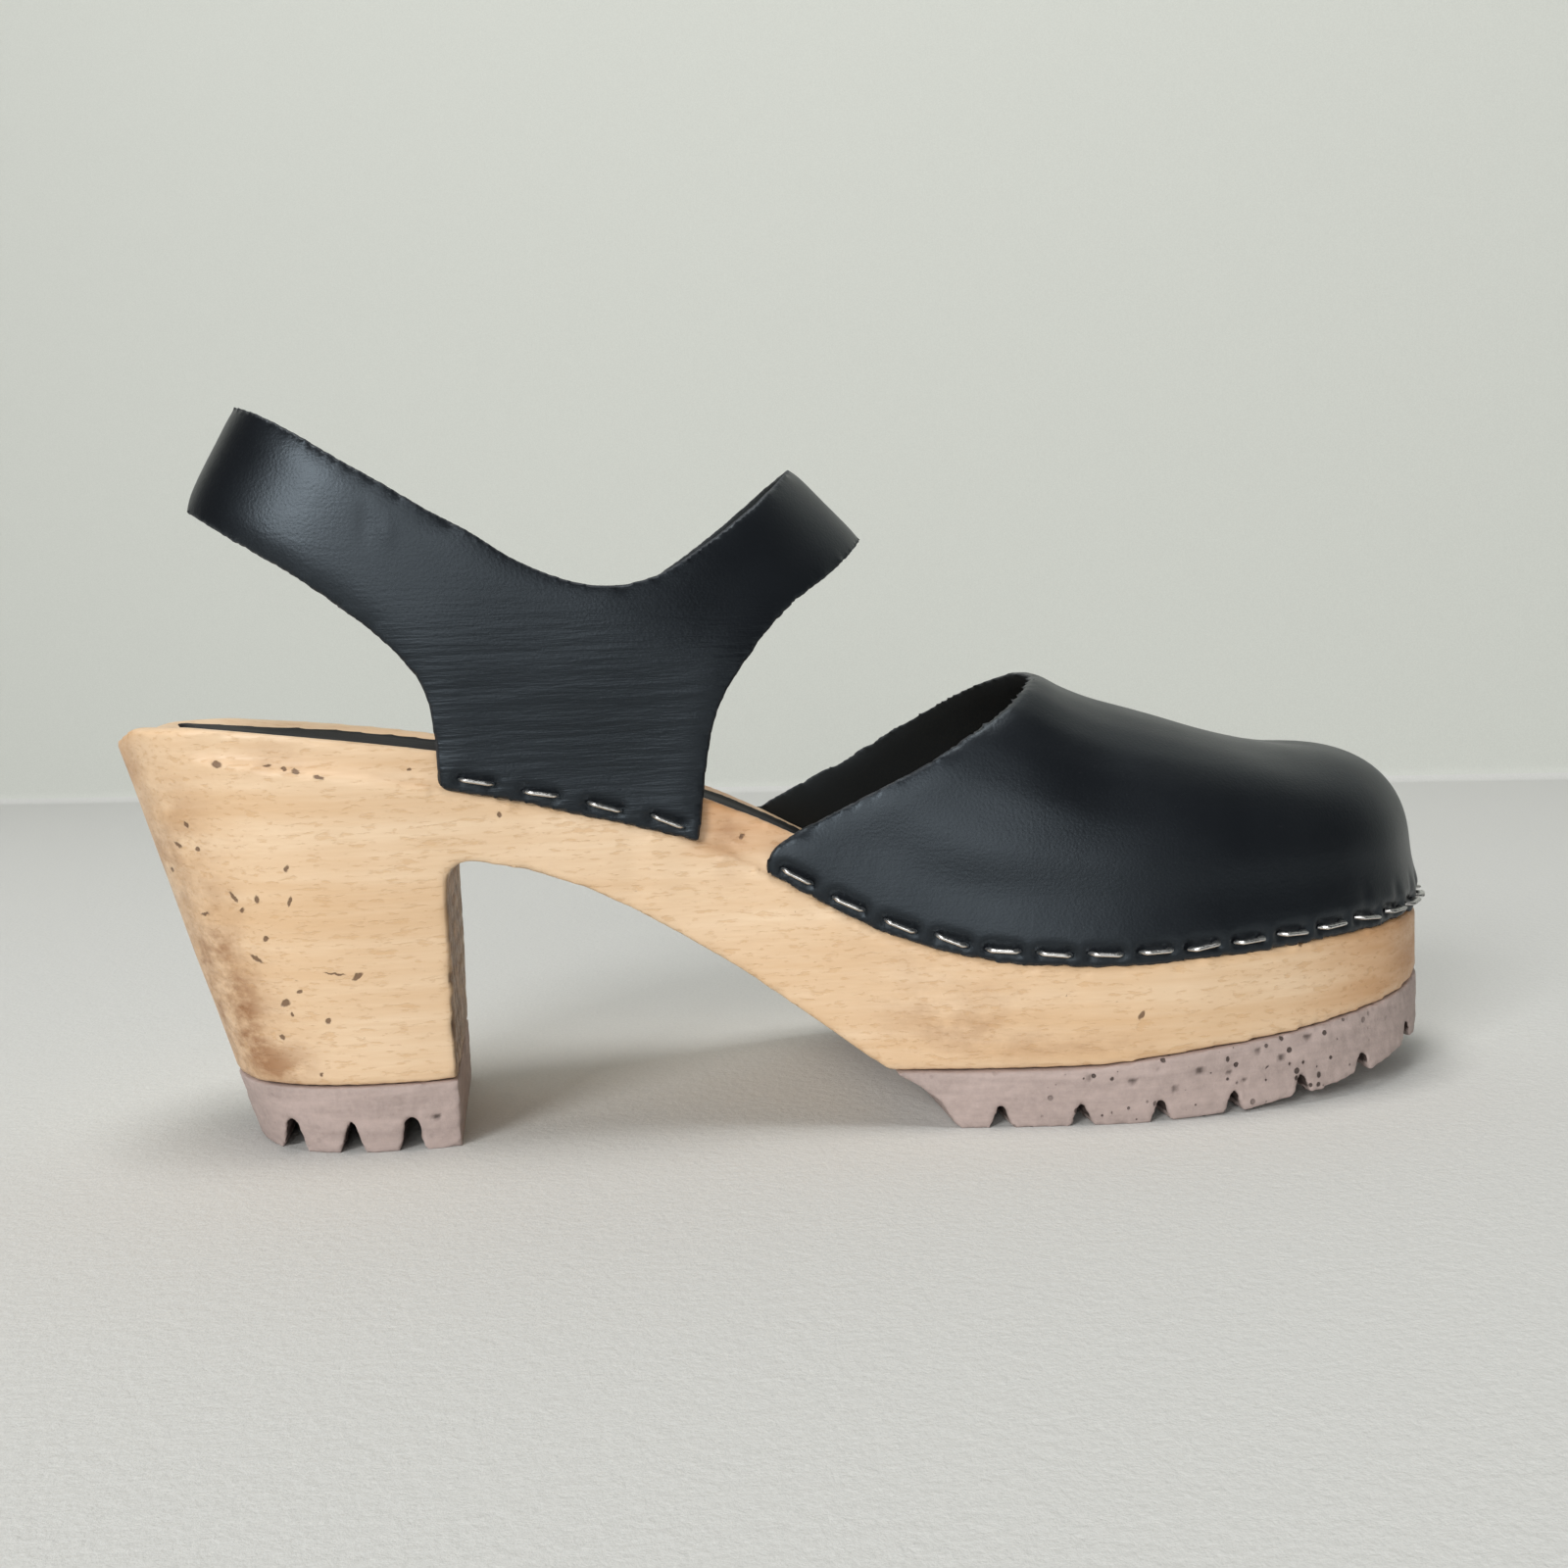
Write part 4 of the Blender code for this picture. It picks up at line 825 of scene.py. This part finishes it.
def staple_tree():
    """Geometry Nodes that bend a flattened wire into a staple and set one at each point."""
    tree = bpy.data.node_groups.new("clog_staples", "GeometryNodeTree")
    faces = tree.interface
    faces.new_socket("Geometry", in_out="INPUT", socket_type="NodeSocketGeometry")
    for name in ("Crown", "Width", "Thickness", "Leg"):
        faces.new_socket(name, in_out="INPUT", socket_type="NodeSocketFloat")
    faces.new_socket("Material", in_out="INPUT", socket_type="NodeSocketMaterial")
    faces.new_socket("Geometry", in_out="OUTPUT", socket_type="NodeSocketGeometry")
    start = tree.nodes.new("NodeGroupInput")
    end = tree.nodes.new("NodeGroupOutput")

    def put(kind, inputs=(), options=()):
        return add_node(tree, kind, inputs, options)

    half = maths(tree, "MULTIPLY", start.outputs["Crown"], 0.5)
    left = put("ShaderNodeCombineXYZ", {"X": maths(tree, "MULTIPLY", half, -1.0)}).outputs[0]
    right = put("ShaderNodeCombineXYZ", {"X": half}).outputs[0]
    line = put("GeometryNodeCurvePrimitiveLine", {"Start": left, "End": right}).outputs[0]
    line = put("GeometryNodeResampleCurve", {"Curve": line, "Count": 17}).outputs[0]
    along = put("GeometryNodeSplineParameter").outputs["Factor"]
    from_middle = maths(tree, "ABSOLUTE", maths(tree, "SUBTRACT", maths(tree, "MULTIPLY", along, 2.0), 1.0))
    bend = put("ShaderNodeMapRange", {"Value": from_middle, "From Min": 0.74, "From Max": 1.0},
               {"interpolation_type": "SMOOTHSTEP"}).outputs[0]
    drop = maths(tree, "MULTIPLY", maths(tree, "MULTIPLY", bend, start.outputs["Leg"]), -1.0)
    offset = put("ShaderNodeCombineXYZ", {"Z": drop}).outputs[0]
    line = put("GeometryNodeSetPosition", {"Geometry": line, "Offset": offset}).outputs[0]
    circle = put("GeometryNodeCurvePrimitiveCircle", {"Resolution": 10, "Radius": 0.5}).outputs[0]
    wire = put("ShaderNodeCombineXYZ",
               {"X": start.outputs["Thickness"], "Y": start.outputs["Width"], "Z": 1.0})
    circle = put("GeometryNodeTransform", {"Geometry": circle, "Scale": wire.outputs[0]}).outputs[0]
    staple = put("GeometryNodeCurveToMesh",
                 {"Curve": line, "Profile Curve": circle, "Fill Caps": True}).outputs[0]
    turn = put("GeometryNodeInputNamedAttribute", {"Name": "turn"}, {"data_type": "FLOAT_VECTOR"}).outputs[0]
    turn = put("FunctionNodeEulerToRotation", {"Euler": turn}).outputs[0]
    set_out = put("GeometryNodeInstanceOnPoints",
                  {"Points": start.outputs["Geometry"], "Instance": staple, "Rotation": turn}).outputs[0]
    joined = put("GeometryNodeRealizeInstances", {"Geometry": set_out}).outputs[0]
    joined = put("GeometryNodeSetShadeSmooth", {"Geometry": joined}).outputs[0]
    joined = put("GeometryNodeSetMaterial",
                 {"Geometry": joined, "Material": start.outputs["Material"]}).outputs[0]
    tree.links.new(joined, end.inputs[0])
    return tree


def set_staples(name, prefix, tree, material):
    """One mesh with a staple at the place of each of the solids' staples."""
    own = settings().staples
    random = np.random.default_rng(own.seed)
    places = staple_places(prefix)
    mesh = bpy.data.meshes.new(name)
    mesh.from_pydata([tuple(middle + own.stand * outward) for middle, _, _, outward in places], [], [])
    turns, tarnish = [], []
    for middle, along, across, outward in places:
        lean = random.uniform(-own.lean, own.lean)
        basis = Matrix((along, across, outward)).transposed() @ Matrix.Rotation(lean, 3, "Z")
        turns += list(basis.to_euler("XYZ"))
        dull = 0.65 * float(ease(np.array(middle[0]), TOE_TIP - 40 * MM, TOE_TIP - 12 * MM))
        tarnish.append(dull + random.uniform(0.0, 0.2))
    mesh.attributes.new("turn", "FLOAT_VECTOR", "POINT").data.foreach_set("vector", turns)
    mesh.attributes.new("tarnish", "FLOAT", "POINT").data.foreach_set("value", tarnish)
    obj = bpy.data.objects.new(name, mesh)
    bpy.context.scene.collection.objects.link(obj)
    modifier = obj.modifiers.new("staples", "NODES")
    modifier.node_group = tree
    values = {"Crown": own.crown, "Width": own.width, "Thickness": own.thickness, "Leg": own.leg,
              "Material": material}
    for item in tree.interface.items_tree:
        if item.in_out == "INPUT" and item.name in values:
            modifier[item.identifier] = values[item.name]
    plain_mesh(obj)
    wear_piece(obj, sorted(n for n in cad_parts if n.startswith(prefix)), material)


# Stage

def add_area_light(name, place, width, power, tint):
    """A soft square light that looks at the shoe."""
    data = bpy.data.lights.new(name, "AREA")
    data.shape = "SQUARE"
    data.size = width
    data.energy = power
    data.color = tint
    obj = bpy.data.objects.new(name, data)
    obj.location = place
    target = Vector((0.0, 0.0, 0.06))
    obj.rotation_euler = (target - Vector(place)).to_track_quat("-Z", "Y").to_euler()
    bpy.context.scene.collection.objects.link(obj)


def stage_finish(name, tint, roughness, scale, height):
    """A pale plain surface with a faint nap."""
    material, tree, shader = new_finish(name, Specular_IOR_Level=0.25, Roughness=roughness)
    place = object_place(tree)
    speckle = noise(tree, place, 1400.0, 2.0)
    base = blend_colours(tree, remap(tree, speckle, 0.35, 0.65, 0.0, 1.0), rgba(tint),
                         rgba(tuple(0.94 * c for c in tint)))
    tree.links.new(base, shader.inputs["Base Color"])
    tree.links.new(bump(tree, noise(tree, place, scale, 4.0, 0.7), height), shader.inputs["Normal"])
    return material


def build_room():
    """Pale floor that turns up into a pale wall."""
    own = settings().stage
    colours = settings().colours
    wide, front, tall, bend = 3.5, -3.5, 2.5, 8 * MM
    wall = own.wall_distance
    line = [(front, 0.0)]
    line += [(wall - bend + bend * math.sin(a), bend - bend * math.cos(a))
             for a in np.linspace(0.0, math.pi / 2, 9)]
    line.append((wall, tall))
    turn = Matrix.Rotation(own.wall_turn, 3, "Z")
    points = [tuple(turn @ Vector((side * wide, y, z))) for side in (-1, 1) for y, z in line]
    count = len(line)
    faces = [(i, count + i, count + i + 1, i + 1) for i in range(count - 1)]
    mesh = bpy.data.meshes.new("room")
    mesh.from_pydata(points, [], faces)
    mesh.materials.append(stage_finish("room_floor", colours.floor, 0.8, 420.0, 0.35 * MM))
    mesh.materials.append(stage_finish("room_wall", colours.wall, 0.85, 150.0, 0.1 * MM))
    for polygon in mesh.polygons:
        polygon.material_index = 1 if polygon.index > count // 2 else 0
    mesh.shade_smooth()
    room = bpy.data.objects.new("room", mesh)
    bpy.context.scene.collection.objects.link(room)


def set_camera():
    """The camera at the photograph's angle."""
    own = settings().stage
    data = bpy.data.cameras.new("camera")
    data.lens = own.lens
    data.sensor_width = 36.0
    data.clip_start = 10 * MM
    camera = bpy.data.objects.new("camera", data)
    view = Vector((-math.sin(own.yaw) * math.cos(own.pitch), math.cos(own.yaw) * math.cos(own.pitch),
                   -math.sin(own.pitch)))
    level = Vector((math.cos(own.yaw), math.sin(own.yaw), 0.0))
    rise = level.cross(view)
    right = level * math.cos(own.roll) - rise * math.sin(own.roll)
    top = level * math.sin(own.roll) + rise * math.cos(own.roll)
    turned = Matrix((right, top, -view)).transposed().to_4x4()
    camera.matrix_world = Matrix.Translation(own.camera) @ turned
    bpy.context.scene.collection.objects.link(camera)
    bpy.context.scene.camera = camera


def set_light():
    """Window light from the left in front, softer ones above and behind the camera, and an even fill."""
    own = settings().stage
    add_area_light("window", (-1.55, -1.85, 1.15), 0.9, own.window_power, (1.0, 1.0, 0.99))
    add_area_light("ceiling", (-0.15, -0.1, 1.9), 0.7, own.top_power, (1.0, 0.985, 0.96))
    add_area_light("room_front", (-0.5, -2.6, 0.75), 1.4, own.front_power, (1.0, 0.99, 0.97))
    world = bpy.data.worlds.new("room_light")
    world.use_nodes = True
    back = world.node_tree.nodes["Background"]
    back.inputs["Color"].default_value = (0.96, 0.98, 1.0, 1.0)
    back.inputs["Strength"].default_value = own.fill
    bpy.context.scene.world = world
    bpy.context.scene.view_settings.view_transform = "Standard"


class CLOG_OT_stage(Operator):
    """Set up the floor, the light and the camera"""
    bl_idname = "clog.stage"
    bl_label = "Stage"

    def execute(self, context):
        build_room()
        set_light()
        set_camera()
        return {"FINISHED"}


class CLOG_OT_wood(Operator):
    """Make the wooden sole with its grain, nicks and dirt"""
    bl_idname = "clog.wood"
    bl_label = "Wooden sole"

    def execute(self, context):
        dress_wood()
        return {"FINISHED"}


class CLOG_OT_rubber(Operator):
    """Make the worn rubber of the tread and the top lift"""
    bl_idname = "clog.rubber"
    bl_label = "Rubber"

    def execute(self, context):
        material = rubber_finish()
        tread = dress_rubber("rubber_tread", "forefoot_outsole", 11)
        wear_piece(tread, ["forefoot_outsole"], material)
        lift = dress_rubber("rubber_top_lift", "heel_top_lift", 21)
        wear_piece(lift, ["heel_top_lift"], material)
        return {"FINISHED"}


class CLOG_OT_insole(Operator):
    """Make the sock on the footbed"""
    bl_idname = "clog.insole"
    bl_label = "Insole"

    def execute(self, context):
        piece = fine_copy("sock", "insole", 0.8 * MM)
        points = smooth_faces(points_of(piece.data), edges_of(piece.data), 6)
        set_points(piece.data, points)
        wear_piece(piece, ["insole"], insole_finish())
        return {"FINISHED"}


class CLOG_OT_leather(Operator):
    """Make the leather vamp and ankle strap"""
    bl_idname = "clog.leather"
    bl_label = "Leather"

    def execute(self, context):
        material = leather_finish()
        vamp = dress_leather("leather_vamp", "vamp", "staple_vamp", VAMP_FOLDS, 31, material, vamp_centre,
                             (-1.0, 0.0))
        gather_toe(vamp)
        dress_leather("leather_ankle_strap", "ankle_strap", "staple_strap", STRAP_FOLDS, 33, material,
                      strap_centre, (86 * MM, 106 * MM))
        return {"FINISHED"}


class CLOG_OT_staples(Operator):
    """Set the wire staples along the leather's edge"""
    bl_idname = "clog.staples"
    bl_label = "Staples"

    def execute(self, context):
        tree = staple_tree()
        material = steel_finish()
        set_staples("staples_vamp", "staple_vamp", tree, material)
        set_staples("staples_strap", "staple_strap", tree, material)
        return {"FINISHED"}


class CLOG_PT_panel(Panel):
    """Settings and steps of the clog"""
    bl_idname = "CLOG_PT_panel"
    bl_label = "Heeled Clog"
    bl_space_type = "VIEW_3D"
    bl_region_type = "UI"
    bl_category = "Clog"

    def draw(self, context):
        for operator in OPERATORS:
            self.layout.operator(operator.bl_idname)
        own = context.scene.heeled_clog
        for group in (own.colours, own.leather, own.wood, own.rubber, own.staples, own.stage):
            box = self.layout.box()
            box.label(text=group.bl_rna.name)
            for name in group.__annotations__:
                box.prop(group, name)


OPERATORS = (CLOG_OT_stage, CLOG_OT_wood, CLOG_OT_rubber, CLOG_OT_insole, CLOG_OT_leather, CLOG_OT_staples)
GROUPS = (ClogColours, ClogLeather, ClogWood, ClogRubber, ClogStaples, ClogStage, ClogSettings)


def register():
    """Register the add-on's classes."""
    for item in (*GROUPS, *OPERATORS, CLOG_PT_panel):
        bpy.utils.register_class(item)
    bpy.types.Scene.heeled_clog = PointerProperty(type=ClogSettings)


def unregister():
    """Remove the add-on's classes."""
    del bpy.types.Scene.heeled_clog
    for item in reversed((*GROUPS, *OPERATORS, CLOG_PT_panel)):
        bpy.utils.unregister_class(item)


def main():
    """Make the whole clog."""
    register()
    bpy.ops.clog.stage()
    bpy.ops.clog.wood()
    bpy.ops.clog.rubber()
    bpy.ops.clog.insole()
    bpy.ops.clog.leather()
    bpy.ops.clog.staples()


if __name__ == "__main__":
    main()
